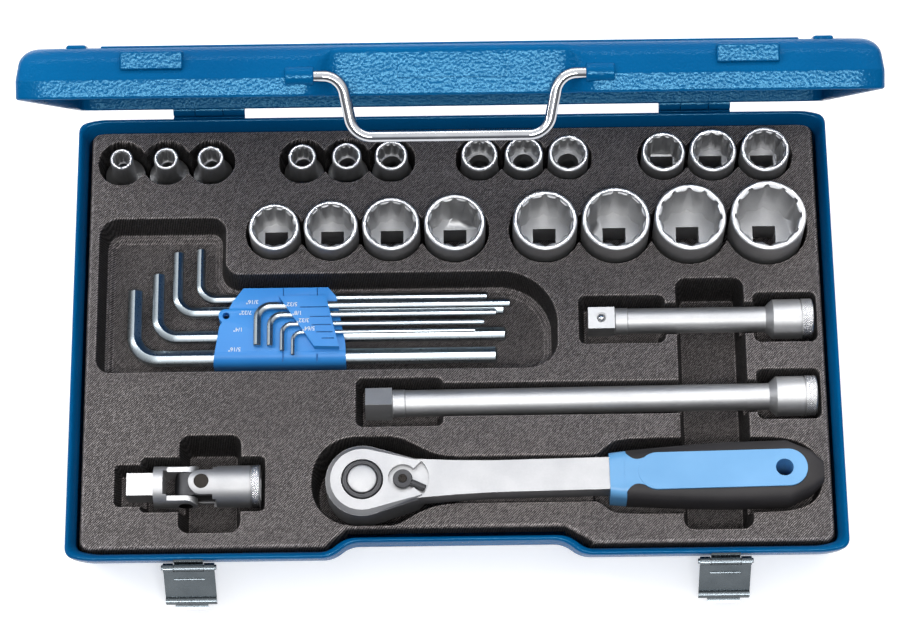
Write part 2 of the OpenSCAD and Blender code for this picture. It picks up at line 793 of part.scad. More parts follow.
// Reversing lever on its stem
module ratchet_lever() {
    lever_t = 2.2;
    arm_w = lever_arm_w;
    base_z = head_top - lever_well_d + rest_gap;
    color(dark_steel) on_ratchet() translate([lever_x, 0, 0]) {
        translate([0, 0, gear_high + gap]) cylinder(r = stem_r, h = base_z - gear_high - gap + 0.01);
        translate([0, 0, base_z]) cylinder(r = lever_r, h = lever_t);
        translate([0, 0, base_z]) rotate([0, 0, lever_angle]) {
            translate([3, -arm_w / 2, 0]) cube([lever_len - 3, arm_w, lever_t]);
            translate([5, -arm_w / 2 + 0.9, 0]) cube([lever_len - 5, arm_w - 1.8, lever_t + 0.6]);
        }
    }
}

// Pawl under the lever, rocked to one side, its nose just clear of the teeth
module ratchet_pawl() {
    color(dark_steel) on_ratchet() translate([pawl_x, 0, gear_low])
        rotate([0, 0, -pawl_rock]) linear_extrude(gear_high - gear_low - rest_gap) {
            circle(r = pawl_r);
            translate([-pawl_nose, -pawl_half]) square([pawl_nose, 2 * pawl_half]);
        }
}

grip_end = handle_x + handle_len;
hang_x = grip_end - 22;
window_from = handle_x + 15.5;
window_to = grip_end - 9.5;

// A slot outline with round ends, along X
module slot_plan(x0, x1, w) {
    translate([x0 + w / 2, 0]) circle(d = w);
    translate([x1 - w / 2, 0]) circle(d = w);
    translate([x0 + w / 2, -w / 2]) square([x1 - x0 - w, w]);
}

// Upright slice of the handle: an oval with flattened top and bottom
module handle_slice(x, w, t) {
    n = 24;
    squareness = 0.5;
    translate([x, 0, grip_z]) rotate([90, 0, 90]) linear_extrude(0.01)
        polygon([for (k = [0:n - 1]) let (a = 360 * k / n)
            [w / 2 * sign(cos(a)) * pow(abs(cos(a)), squareness),
             t / 2 * sign(sin(a)) * pow(abs(sin(a)), squareness)]]);
}

// Blue core: a collar at the shank and the long web that shows on both flats
module ratchet_handle_core() {
    color(core_blue) on_ratchet() difference() {
        union() {
            translate([0, 0, grip_z - grip_t / 2 - 0.2]) linear_extrude(grip_t + 0.4)
                slot_plan(window_from, window_to, core_w);
            hull() {
                handle_slice(handle_x, 26, grip_t - 0.8);
                handle_slice(handle_x + 9, 28, grip_t - 0.4);
            }
            translate([handle_x + 8, -7, grip_z - 9]) cube([window_from - handle_x, 14, 18]);
        }
        translate([handle_x - cut, -shank_w / 2, shank_low]) cube([60 + cut, shank_w, shank_t]);
        translate([hang_x, 0, 0]) cylinder(d = hang_d, h = head_top + 10);
    }
}

// Soft grip moulded round the core
module ratchet_grip() {
    start = handle_x + 9 + 0.1;
    fit = 0.1;
    color(grip_black) on_ratchet() difference() {
        union() {
            hull() {
                handle_slice(start, 28.4, grip_t - 0.4);
                handle_slice(handle_x + 30, grip_w - 4, grip_t - 0.2);
                handle_slice(handle_x + 60, grip_w - 0.4, grip_t);
            }
            hull() {
                handle_slice(handle_x + 60, grip_w - 0.4, grip_t);
                handle_slice(grip_end - 20, grip_w, grip_t);
                handle_slice(grip_end - 7, grip_w - 12, grip_t - 3);
                handle_slice(grip_end - 0.02, 12, grip_t - 12);
            }
        }
        linear_extrude(80) slot_plan(window_from - fit, window_to + fit, core_w + 2 * fit);
        translate([start - cut, -7 - fit, grip_z - 9 - fit])
            cube([window_from - handle_x, 14 + 2 * fit, 18 + 2 * fit]);
        translate([start - cut, -shank_w / 2 - fit, shank_low - fit])
            cube([60, shank_w + 2 * fit, shank_t + 2 * fit]);
    }
}

// ---------- extensions ----------

// Left ends and turns of the two extensions
short_at = [74.5, 8];
long_at = [-49.6, -39.3];
short_turn = 0.1;
long_turn = 0.42;
ball_at = 7.4;
square_in_barrel = 16;

// An extension along +X from the origin: square end, shank, cone, barrel and knurled ring
module extension(len, shank_d) {
    barrel_len = 22.2;
    cone_len = 4.1;
    ring_len = 6.3;
    collar_len = 7;
    r = shank_d / 2;
    rb = barrel_d / 2;
    difference() {
        union() {
            rotate([90, 0, 90]) linear_extrude(tang_len + 0.01) drive_square(0);
            translate([tang_len, 0, 0]) rotate([90, 0, 90]) rotate_extrude() polygon([[0, 0],
                [r - 0.6, 0], [r, 0.6], [r, collar_len], [r - 0.35, collar_len + 0.4],
                [r - 0.35, len - tang_len - barrel_len - cone_len],
                [rb, len - tang_len - barrel_len], [rb, len - tang_len - ring_len - 0.8],
                [rb - 0.7, len - tang_len - ring_len - 0.8], [rb - 0.7, len - tang_len - ring_len],
                [rb + 0.2, len - tang_len - ring_len], [rb + 0.2, len - tang_len - 0.8],
                [rb - 0.6, len - tang_len], [0, len - tang_len]]);
        }
        translate([len - square_in_barrel, 0, 0]) rotate([90, 0, 90])
            linear_extrude(square_in_barrel + cut) drive_square(square_play);
        translate([ball_at, 0, drive_sq / 2]) ball_hole();
    }
}

// Hole of a detent ball, its mouth at z = 0, with the lip that is staked round the ball
module ball_hole() {
    deep = ball_d - ball_out + ball_travel + gap;
    translate([0, 0, -deep]) cylinder(d = ball_d + 2 * run, h = deep + cut);
    translate([0, 0, -ball_lip_t]) cylinder(d = ball_lip_d, h = ball_lip_t + cut);
}

module detent_ball() {
    translate([ball_at, 0, drive_sq / 2 - ball_d / 2 + ball_out]) sphere(d = ball_d, $fn = 32);
}

long_roll = 156;

module on_short() {
    translate([short_at[0], short_at[1], tool_axis_z]) rotate([0, 0, short_turn]) children();
}

// The long extension lies rolled about its own axis
module on_long() {
    translate([long_at[0], long_at[1], tool_axis_z]) rotate([0, 0, long_turn])
        rotate([long_roll, 0, 0]) children();
}

module extension_short() {
    color(chrome) on_short() extension(short_len, short_shank_d);
}

module extension_short_ball() {
    color(bright) on_short() detent_ball();
}

module extension_long() {
    color(chrome) on_long() extension(long_len, long_shank_d);
}

// The long extension's ball faces down and to the front
module extension_long_ball() {
    color(bright) on_long() detent_ball();
}

// ---------- universal joint ----------

// Axis point of the cross, in the middle of the joint
joint_at = [-138.8, -86.2];
fork_slot = 13.6;
eye_r = 6.4;
socket_eye_r = fork_slot / 2 - gap + 0.6;
pin_offset = 8.9;
drive_reach = 41.2;
socket_reach = 31.6;
drive_slot_base = 21.1;
socket_slot_base = 8;

module on_joint() {
    translate([joint_at[0], joint_at[1], tool_axis_z]) children();
}

// A bar along Y for a pin or its hole
module y_rod(r, len) {
    rotate([90, 0, 0]) translate([0, 0, -len / 2]) cylinder(r = r, h = len);
}

// A fork along +X whose pin lies along Y at x = eye_x: a round bar that is slotted between
// its two ears, and trimmed to the ears' height out to the slot's base
module fork(eye_x, slot_base, reach, ear_r) {
    difference() {
        rotate([90, 0, 90]) translate([0, 0, eye_x - ear_r]) cylinder(d = joint_d, h = reach - eye_x + ear_r);
        // slot between the ears
        translate([eye_x - ear_r - cut, -fork_slot / 2, -joint_d])
            cube([slot_base - eye_x + ear_r + cut, fork_slot, 2 * joint_d]);
        // the ears end round about the pin and are no higher than their ends
        rotate([90, 0, 0]) translate([0, 0, -joint_d]) linear_extrude(2 * joint_d) difference() {
            translate([eye_x - ear_r - cut, -joint_d])
                square([slot_base - eye_x + ear_r + cut - 2, 2 * joint_d]);
            translate([eye_x, 0]) circle(r = ear_r);
            translate([eye_x, -ear_r]) square([slot_base, 2 * ear_r]);
        }
        translate([eye_x, 0, 0]) y_rod(joint_pin_d / 2 + run, 2 * joint_d);
    }
}

// Fork with the square drive, pointing to -X; its pin lies along Y
module universal_drive_fork() {
    color(chrome) on_joint() mirror([1, 0, 0]) difference() {
        union() {
            fork(pin_offset, drive_slot_base, drive_reach - tang_len, eye_r);
            translate([drive_reach - tang_len - 0.01, 0, 0]) rotate([90, 0, 90])
                linear_extrude(tang_len + 0.01) drive_square(0);
        }
        translate([drive_reach - ball_at, 0, -drive_sq / 2]) mirror([0, 0, 1]) ball_hole();
    }
}

module universal_ball() {
    color(bright) on_joint() translate([-drive_reach + ball_at, 0, -drive_sq / 2 + ball_d / 2 - ball_out])
        sphere(d = ball_d, $fn = 32);
}

// Fork with the square socket, pointing to +X; its pin stands along Z
module universal_socket_fork() {
    ring_len = 4.7;
    groove = 0.7;
    color(chrome) on_joint() difference() {
        union() {
            rotate([90, 0, 0]) fork(0, socket_slot_base, socket_reach - ring_len - groove, socket_eye_r);
            translate([socket_reach - ring_len - groove - 0.01, 0, 0]) rotate([90, 0, 90])
                cylinder(d = joint_d - 1.4, h = groove + 0.02);
            translate([socket_reach - ring_len, 0, 0]) rotate([90, 0, 90]) cylinder(d = joint_d, h = ring_len);
        }
        translate([socket_reach - square_depth, 0, 0]) rotate([90, 0, 90])
            linear_extrude(square_depth + cut) drive_square(square_play);
    }
}

cross_half = fork_slot / 2 - gap;

// Block between the forks, round about both pins
module universal_cross() {
    color(dark_steel) on_joint() difference() {
        intersection() {
            // round about the lying pin, seen from the side
            rotate([90, 0, 0]) translate([0, 0, -cross_half]) linear_extrude(2 * cross_half) {
                translate([-pin_offset, 0]) circle(r = cross_half);
                translate([-pin_offset, -cross_half]) square([pin_offset + cross_half, 2 * cross_half]);
            }
            // slightly bowed, seen from above
            translate([0, 0, -cross_half]) linear_extrude(2 * cross_half) intersection() {
                translate([0.5, 0]) circle(r = pin_offset + cross_half + 0.5, $fn = 96);
                translate([-2 * pin_offset, -cross_half])
                    square([2 * pin_offset + cross_half, 2 * cross_half]);
            }
        }
        translate([0, 0, -joint_d]) cylinder(d = joint_pin_d, h = 2 * joint_d);
        translate([-pin_offset, 0, 0]) y_rod(joint_pin_d / 2, 2 * joint_d);
    }
}

// The joint's two pins
module universal_pins() {
    pin_len = joint_d - 0.8;
    color(dark_steel) on_joint() {
        translate([0, 0, -pin_len / 2]) cylinder(d = joint_pin_d, h = pin_len);
        translate([-pin_offset, 0, 0]) y_rod(joint_pin_d / 2, pin_len);
    }
}

// ---------- hexagon keys ----------

// Each key: size in sixty-fourths of an inch, x of its short arm, y of its long arm,
// far end of the long arm, and how far the short arm reaches from the long arm
hex_sizes = [20, 16, 14, 12, 10, 8, 6, 5];
key_x = [-179.2, -166.2, -155.3, -142.5, -109.9, -102.8, -96, -90];
key_y = [-7.8, 4.8, 19.6, 27.4, 19.6, 14.2, 8.6, 3.6];
key_end = [23.7, 28.8, 28.1, 18.8, 31.4, 23.6, 16.7, 11.6];
key_short = [41, 38.2, 36.6, 30.6, 23.8, 18.6, 16, 13.4];
large_keys = 4;
large_key_z = 22;
small_key_z = large_key_z + 9;

function key_af(k) = hex_sizes[k] / 64 * inch;
function key_bend(k) = key_af(k) * 1.5 + 1.6;
function key_z(k) = k < large_keys ? large_key_z : small_key_z;

// Hexagonal bar of the key's section along +X, a flat on top
module hex_bar(k, len) {
    rotate([90, 0, 90]) linear_extrude(len) rotate(0) circle(d = key_af(k) / cos(30), $fn = 6);
}

module hex_key(k) {
    r = key_bend(k);
    s = k < large_keys ? 1 : -1;
    color(bright) translate([key_x[k], key_y[k], key_z(k)]) scale([1, s, 1]) {
        translate([r, 0, 0]) hex_bar(k, key_end[k] - key_x[k] - r);
        translate([0, r, 0]) rotate([0, 0, 90]) hex_bar(k, key_short[k] - r);
        translate([r, r, 0]) rotate([0, 0, 180]) rotate_extrude(angle = 90)
            translate([r, 0]) circle(d = key_af(k) / cos(30), $fn = 6);
    }
}

module hex_key_5_16() { hex_key(0); }
module hex_key_1_4() { hex_key(1); }
module hex_key_7_32() { hex_key(2); }
module hex_key_3_16() { hex_key(3); }
module hex_key_5_32() { hex_key(4); }
module hex_key_1_8() { hex_key(5); }
module hex_key_3_32() { hex_key(6); }
module hex_key_5_64() { hex_key(7); }

holder_left = -134.6;
holder_low = key_floor + rest_gap;
holder_y = [-13.2, 31.4];

// Holder with a hanging ear on the left and a raised plate over the small keys
module key_holder() {
    right = holder_left + holder_w;
    y0 = holder_y[0];
    y1 = holder_y[1];
    ear = [holder_left + 7, 15];
    color(holder_blue) difference() {
        union() {
            translate([0, 0, holder_low]) linear_extrude(holder_t) {
                polygon([[holder_left, y0], [right, y0], [right - 0.2, y0 + 10], [right - 5.4, y1 - 5.5],
                    [right - 10, y1], [holder_left + 16.6, y1], [holder_left + 10.6, y1 - 8],
                    [holder_left + 3.2, y0 + 21.5]]);
                translate(ear) circle(r = 4.2);
            }
            translate([0, 0, holder_low + holder_t - 0.01]) linear_extrude(plate_t + 0.01)
                polygon([[right - 37.4, y1 - 7], [right - 11, y1 - 7], [right - 3.6, y0 + 7],
                    [right - 17.4, y0 + 7.5]]);
        }
        translate([ear[0], ear[1], 0]) cylinder(r = 2, h = 60);
        for (k = [0:len(hex_sizes) - 1])
            translate([holder_left - 10, key_y[k], key_z(k)])
                x_rod(key_af(k) / 2 / cos(30) + key_play, holder_w + 20);
    }
}

// ---------- tool insert ----------

well_x = [125, 160.6];
insert_low = sheet_t + rest_gap;

// The insert's outline at height z, following the tray's sloping front
module insert_blank() {
    low_front = insert_front - 6.6;
    difference() {
        hull() {
            translate([0, 0, insert_low]) linear_extrude(0.01)
                round_rect([-insert_half_w, -low_front], [insert_half_w, insert_back], 6);
            translate([0, 0, insert_top - 0.01]) linear_extrude(0.01)
                round_rect([-insert_half_w, -insert_front], [insert_half_w, insert_back], 6);
        }
        translate([0, 0, -cut]) linear_extrude(tray_h)
            translate([0, insert_recess_shift]) recess_plan(sheet_t + 1);
    }
}

insert_recess_shift = 5.6;

// Pocket of one socket
module socket_pocket(i) {
    translate([socket_x(i), socket_y(i), socket_rest_z - rest_gap])
        cylinder(r = socket_widest(i) / 2 + pocket_gap, h = tray_h);
}

// A pocket with straight walls from its floor up; children give its outline
module pocket(floor_z) {
    translate([0, 0, floor_z]) linear_extrude(tray_h) children();
}

// Pocket of an extension that lies from x0 to x1 along y
module extension_pocket(x0, y, x1, y_end, half_neck) {
    half_end = barrel_d / 2 + 2.2;
    tang_half = 12.6;
    floor_tang = tool_axis_z - drive_sq * 0.71 - rest_gap - 1;
    pocket(floor_tang) round_rect([x0 - 4.2, y - tang_half], [x0 + 39, y + tang_half], 3);
    pocket(tool_axis_z - long_shank_d / 2 - rest_gap)
        round_rect([x0 + 30, (y + y_end) / 2 - half_neck], [x1 - 30, (y + y_end) / 2 + half_neck], 0.5);
    pocket(tool_axis_z - barrel_d / 2 - 0.2 - rest_gap)
        round_rect([well_x[1] + 7.6, y_end - half_end], [x1 + pocket_gap, y_end + half_end], 3);
}

module key_pocket() {
    left = -196.8;
    low = -19;
    top = 70.5;
    mid_x = -129.5;
    mid_y = 36;
    right = 56.4;
    pocket(key_floor) polygon(concat(
        arc([left + 8, low + 8], 8, 180, 270), arc([right - 17, low + 17], 17, 270, 350),
        arc([right - 32, mid_y - 32], 32, 5, 90, 10), arc([mid_x + 8, mid_y + 8], 8, 270, 180),
        arc([mid_x - 9, top - 9], 9, 0, 90), arc([left + 12, top - 12], 12, 90, 180)));
}

module joint_pocket() {
    y = joint_at[1];
    floor_z = tool_axis_z - joint_d / 2 - rest_gap;
    pocket(tool_axis_z - drive_sq / 2 - rest_gap - 1)
        round_rect([joint_at[0] - drive_reach - 5.2, y - 11.2], [joint_at[0] - 20, y + 11.2], 3);
    pocket(floor_z) round_rect([joint_at[0] - 35, y - 14.8], [joint_at[0] + socket_reach + 1.4, y + 14.8], 3);
    pocket(well_floor) round_rect([joint_at[0] - 11, y - 26], [joint_at[0] + 19.3, y + 26.6], 6);
}

// Ratchet's pocket: a deep round end for the head, a neck, and the handle's bed
module ratchet_pocket() {
    head_c = [-53.5, -85.3];
    deep_r = head_r + 5;
    head_to = -33;
    neck_y = [-99.4, -73.4];
    bed_y = [-106.6, -64.3];
    bed_x = [84.6, 202.6];
    neck_floor = shank_low - 4;
    pocket(drive_end_z - rest_gap) {
        translate(head_c) circle(r = deep_r);
        translate([head_c[0], head_c[1] - deep_r]) square([head_to - head_c[0], 2 * deep_r]);
        // shoulders that run down to the neck
        polygon([[head_to - 0.01, head_c[1] - deep_r], [head_to + 6, head_c[1] - deep_r + 2.4],
            [head_to + 22, neck_y[0] + 0.3], [head_to + 27, neck_y[0] + 0.3],
            [head_to + 27, neck_y[1] - 0.3], [head_to + 22, neck_y[1] - 0.3],
            [head_to + 8, head_c[1] + deep_r - 4.6], [head_to + 4, head_c[1] + deep_r - 1.2],
            [head_to - 0.01, head_c[1] + deep_r]]);
    }
    pocket(neck_floor) translate([head_to + 10, neck_y[0]]) square([bed_x[0] - head_to, neck_y[1] - neck_y[0]]);
    pocket(grip_z - grip_t / 2 - 0.2 - rest_gap) {
        polygon(concat([[bed_x[0] - 5, neck_y[0]]], [[bed_x[0] + 4, bed_y[0]]],
            arc([bed_x[1] - 19, bed_y[0] + 19], 19, 270, 360, 8),
            arc([bed_x[1] - 19, bed_y[1] - 19], 19, 0, 90, 8),
            [[bed_x[0] + 4, bed_y[1]]], [[bed_x[0] - 5, neck_y[1]]]));
    }
}

module tool_insert() {
    color(insert_black) difference() {
        insert_blank();
        for (i = [0:len(size_32nds) - 1]) socket_pocket(i);
        key_pocket();
        extension_pocket(short_at[0], short_at[1], short_at[0] + short_len, short_at[1], 8.6);
        extension_pocket(long_at[0], long_at[1], long_at[0] + long_len,
            long_at[1] + long_len * sin(long_turn), 9.4);
        joint_pocket();
        ratchet_pocket();
        // finger well that crosses the extensions and the handle
        pocket(well_floor) round_rect([well_x[0], -114.4], [well_x[1], 30.2], 5);
    }
}

tray_shell();
lid_shell();
tool_insert();
hinge_tray_leaves();
hinge_lid_leaves();
hinge_pins();
carry_handle();
handle_sleeves();
latch_left_plate();
latch_right_plate();
latch_brackets();
latch_pins();
socket_5_16();
socket_11_32();
socket_3_8();
socket_13_32();
socket_7_16();
socket_1_2();
socket_9_16();
socket_19_32();
socket_5_8();
socket_11_16();
socket_3_4();
socket_25_32();
socket_13_16();
socket_7_8();
socket_15_16();
socket_1();
socket_1_1_16();
socket_1_1_8();
socket_1_3_16();
socket_1_1_4();
ratchet_head();
ratchet_back_cover();
ratchet_drive();
ratchet_button();
ratchet_ring();
ratchet_lever();
ratchet_pawl();
ratchet_handle_core();
ratchet_grip();
ratchet_ball();
extension_short();
extension_short_ball();
extension_long();
extension_long_ball();
universal_drive_fork();
universal_cross();
universal_socket_fork();
universal_pins();
universal_ball();
hex_key_5_16();
hex_key_1_4();
hex_key_7_32();
hex_key_3_16();
hex_key_5_32();
hex_key_1_8();
hex_key_3_32();
hex_key_5_64();
key_holder();
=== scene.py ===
"""Socket wrench set in a blue steel case: the visible pieces, their finishes, the light and the camera."""
import json
import math

import bmesh
import bpy
import numpy as np
from mathutils import Matrix, Vector

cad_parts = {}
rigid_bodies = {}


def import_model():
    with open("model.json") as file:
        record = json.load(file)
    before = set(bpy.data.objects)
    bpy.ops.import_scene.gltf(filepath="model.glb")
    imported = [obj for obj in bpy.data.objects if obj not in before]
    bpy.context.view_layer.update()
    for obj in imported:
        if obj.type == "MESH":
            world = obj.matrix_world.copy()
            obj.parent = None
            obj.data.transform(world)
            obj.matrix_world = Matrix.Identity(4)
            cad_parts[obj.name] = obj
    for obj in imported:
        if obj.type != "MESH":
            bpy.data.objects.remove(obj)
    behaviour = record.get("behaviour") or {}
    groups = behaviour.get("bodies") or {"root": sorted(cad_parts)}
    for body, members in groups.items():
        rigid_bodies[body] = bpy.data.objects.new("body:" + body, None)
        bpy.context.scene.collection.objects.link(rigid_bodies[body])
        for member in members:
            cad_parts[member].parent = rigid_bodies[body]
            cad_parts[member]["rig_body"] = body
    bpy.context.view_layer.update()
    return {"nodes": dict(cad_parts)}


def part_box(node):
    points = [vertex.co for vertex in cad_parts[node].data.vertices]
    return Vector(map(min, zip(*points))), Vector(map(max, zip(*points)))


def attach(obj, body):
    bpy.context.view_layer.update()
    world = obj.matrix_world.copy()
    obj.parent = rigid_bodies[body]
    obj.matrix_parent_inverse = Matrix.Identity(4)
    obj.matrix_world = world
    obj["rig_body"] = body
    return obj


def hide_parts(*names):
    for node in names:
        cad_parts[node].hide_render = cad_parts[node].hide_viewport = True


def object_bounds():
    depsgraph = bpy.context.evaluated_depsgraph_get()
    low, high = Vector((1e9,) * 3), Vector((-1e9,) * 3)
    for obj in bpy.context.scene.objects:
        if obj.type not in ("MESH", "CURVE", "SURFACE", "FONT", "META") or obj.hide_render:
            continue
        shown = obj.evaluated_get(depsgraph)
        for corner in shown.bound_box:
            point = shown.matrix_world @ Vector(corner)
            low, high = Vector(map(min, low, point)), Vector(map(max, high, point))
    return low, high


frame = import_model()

MM = 0.001

# ---------- camera and lamps ----------

# the camera, in mm and degrees: far away, looking well down, turned and tipped a little
CAMERA_PLACE = (4.765, -640.433, 1683.215)
CAMERA_DOWN, CAMERA_YAW, CAMERA_ROLL = 68.534, -0.629, -1.332
CAMERA_LENS = 127.27


def show(name, data):
    """Puts a mesh, lamp or camera in the scene."""
    thing = bpy.data.objects.new(name, data)
    bpy.context.scene.collection.objects.link(thing)
    return thing


def stand_camera():
    """Stands the camera at its place and turns it."""
    down, yaw, roll = (math.radians(turn) for turn in (CAMERA_DOWN, CAMERA_YAW, CAMERA_ROLL))
    ahead = Vector((math.sin(yaw) * math.cos(down), math.cos(yaw) * math.cos(down), -math.sin(down)))
    level = Vector((math.cos(yaw), -math.sin(yaw), 0))
    upright = level.cross(ahead)
    right = level * math.cos(roll) + upright * math.sin(roll)
    up = upright * math.cos(roll) - level * math.sin(roll)
    lens = bpy.data.cameras.new("camera")
    lens.lens = CAMERA_LENS
    lens.sensor_width = 36
    lens.sensor_fit = "HORIZONTAL"
    lens.clip_end = 50
    camera = show("camera", lens)
    turn = Matrix((right, up, -ahead)).transposed()
    camera.matrix_world = Matrix.Translation(Vector(CAMERA_PLACE) * MM) @ turn.to_4x4()
    bpy.context.scene.camera = camera


def softbox(name, place, aim, width, depth, power):
    """One rectangular studio light, turned towards a point; sizes in metres, power in watts."""
    lamp = bpy.data.lights.new(name, "AREA")
    lamp.shape = "RECTANGLE"
    lamp.size = width
    lamp.size_y = depth
    lamp.energy = power
    light = show(name, lamp)
    light.location = place
    light.rotation_euler = (Vector(aim) - Vector(place)).to_track_quat("-Z", "Y").to_euler()
    return light


# ---------- materials ----------

def srgb(code):
    """A hex colour as linear red, green, blue and alpha."""
    parts = [int(code[i:i + 2], 16) / 255 for i in (1, 3, 5)]
    return [c / 12.92 if c <= 0.04045 else ((c + 0.055) / 1.055) ** 2.4 for c in parts] + [1.0]


def put(tree, kind, inputs=None, **settings):
    """Adds one node; an input is a number, a colour, or the socket that feeds it."""
    made = tree.nodes.new(kind)
    for name, value in settings.items():
        setattr(made, name, value)
    for key, value in (inputs or {}).items():
        if isinstance(value, bpy.types.NodeSocket):
            tree.links.new(value, made.inputs[key])
        else:
            made.inputs[key].default_value = value
    return made


def start_material(name):
    made = bpy.data.materials.new(name)
    made.use_nodes = True
    tree = made.node_tree
    tree.nodes.clear()
    return made, tree


def finish_material(tree, inputs):
    shader = put(tree, "ShaderNodeBsdfPrincipled", inputs)
    put(tree, "ShaderNodeOutputMaterial", {"Surface": shader.outputs[0]})


def stops(ramp, points):
    """Sets a colour ramp's stops from (place, hex) pairs."""
    band = ramp.color_ramp
    while len(band.elements) > 1:
        band.elements.remove(band.elements[-1])
    band.elements[0].position = points[0][0]
    band.elements[0].color = srgb(points[0][1])
    for place, code in points[1:]:
        band.elements.new(place).color = srgb(code)


def painted_steel(name, sheen):
    """Wrinkle enamel, sprayed and baked on sheet steel: a leathery skin of shallow cells 1.3 mm wide."""
    made, tree = start_material(name)
    # cells of 1000 / 760 mm, a grain of 1000 / 900 mm and clouds of 1000 / 14 mm
    place = put(tree, "ShaderNodeTexCoord").outputs["Object"]
    cells = put(tree, "ShaderNodeTexVoronoi", {"Vector": place, "Scale": 760.0, "Randomness": 1.0},
                feature="SMOOTH_F1")
    fine = put(tree, "ShaderNodeTexNoise", {"Vector": place, "Scale": 900.0, "Detail": 3.0})
    broad = put(tree, "ShaderNodeTexNoise", {"Vector": place, "Scale": 14.0, "Detail": 2.0})
    tone = put(tree, "ShaderNodeValToRGB", {"Fac": broad.outputs["Fac"]})
    stops(tone, [(0.3, "#014E80"), (0.7, "#02588C")])
    rough = put(tree, "ShaderNodeMapRange", {"Value": fine.outputs["Fac"], "To Min": 0.17, "To Max": 0.26})
    dents = put(tree, "ShaderNodeBump", {"Height": cells.outputs["Distance"], "Strength": 0.8,
                                         "Distance": 0.00024})
    grain = put(tree, "ShaderNodeBump", {"Height": fine.outputs["Fac"], "Strength": 0.5, "Distance": 0.0001,
                                         "Normal": dents.outputs[0]})
    finish_material(tree, {"Base Color": tone.outputs[0], "Roughness": rough.outputs[0],
                           "Normal": grain.outputs[0], "IOR": 1.5, "Specular IOR Level": sheen,
                           "Specular Tint": srgb("#94E1FF")})
    return made


def metal(name, dark, light, rough_low, rough_high, depth=0.00003):
    """A bare or plated metal: a fine grain in its gloss, and a slow change of tone across it."""
    made, tree = start_material(name)
    # a grain of 1000 / 900 mm, clouds of 1000 / 60 mm
    place = put(tree, "ShaderNodeTexCoord").outputs["Object"]
    fine = put(tree, "ShaderNodeTexNoise", {"Vector": place, "Scale": 900.0, "Detail": 4.0})
    broad = put(tree, "ShaderNodeTexNoise", {"Vector": place, "Scale": 60.0, "Detail": 3.0})
    tone = put(tree, "ShaderNodeValToRGB", {"Fac": broad.outputs["Fac"]})
    stops(tone, [(0.3, dark), (0.7, light)])
    rough = put(tree, "ShaderNodeMapRange", {"Value": fine.outputs["Fac"], "From Min": 0.3, "From Max": 0.7,
                                             "To Min": rough_low, "To Max": rough_high})
    skin = {"Base Color": tone.outputs[0], "Metallic": 1.0, "Roughness": rough.outputs[0]}
    if depth:
        skin["Normal"] = put(tree, "ShaderNodeBump", {"Height": fine.outputs["Fac"], "Strength": 0.3,
                                                      "Distance": depth}).outputs[0]
    finish_material(tree, skin)
    return made


def plastic(name, dark, light, rough, grain, depth):
    """A moulded plastic: a fine spark-eroded grain in the skin, and a slow change of tone."""
    made, tree = start_material(name)
    # the grain is 1000 / grain mm wide: 0.7 mm at 1500; the clouds are 1000 / 30 mm
    place = put(tree, "ShaderNodeTexCoord").outputs["Object"]
    fine = put(tree, "ShaderNodeTexNoise", {"Vector": place, "Scale": grain, "Detail": 4.0, "Roughness": 0.6})
    broad = put(tree, "ShaderNodeTexNoise", {"Vector": place, "Scale": 30.0, "Detail": 3.0})
    tone = put(tree, "ShaderNodeValToRGB", {"Fac": broad.outputs["Fac"]})
    stops(tone, [(0.3, dark), (0.7, light)])
    gloss = put(tree, "ShaderNodeMapRange", {"Value": fine.outputs["Fac"],
                                             "To Min": rough - 0.08, "To Max": rough + 0.08})
    dents = put(tree, "ShaderNodeBump", {"Height": fine.outputs["Fac"], "Strength": 0.4, "Distance": depth})
    finish_material(tree, {"Base Color": tone.outputs[0], "Roughness": gloss.outputs[0],
                           "Normal": dents.outputs[0], "IOR": 1.49})
    return made


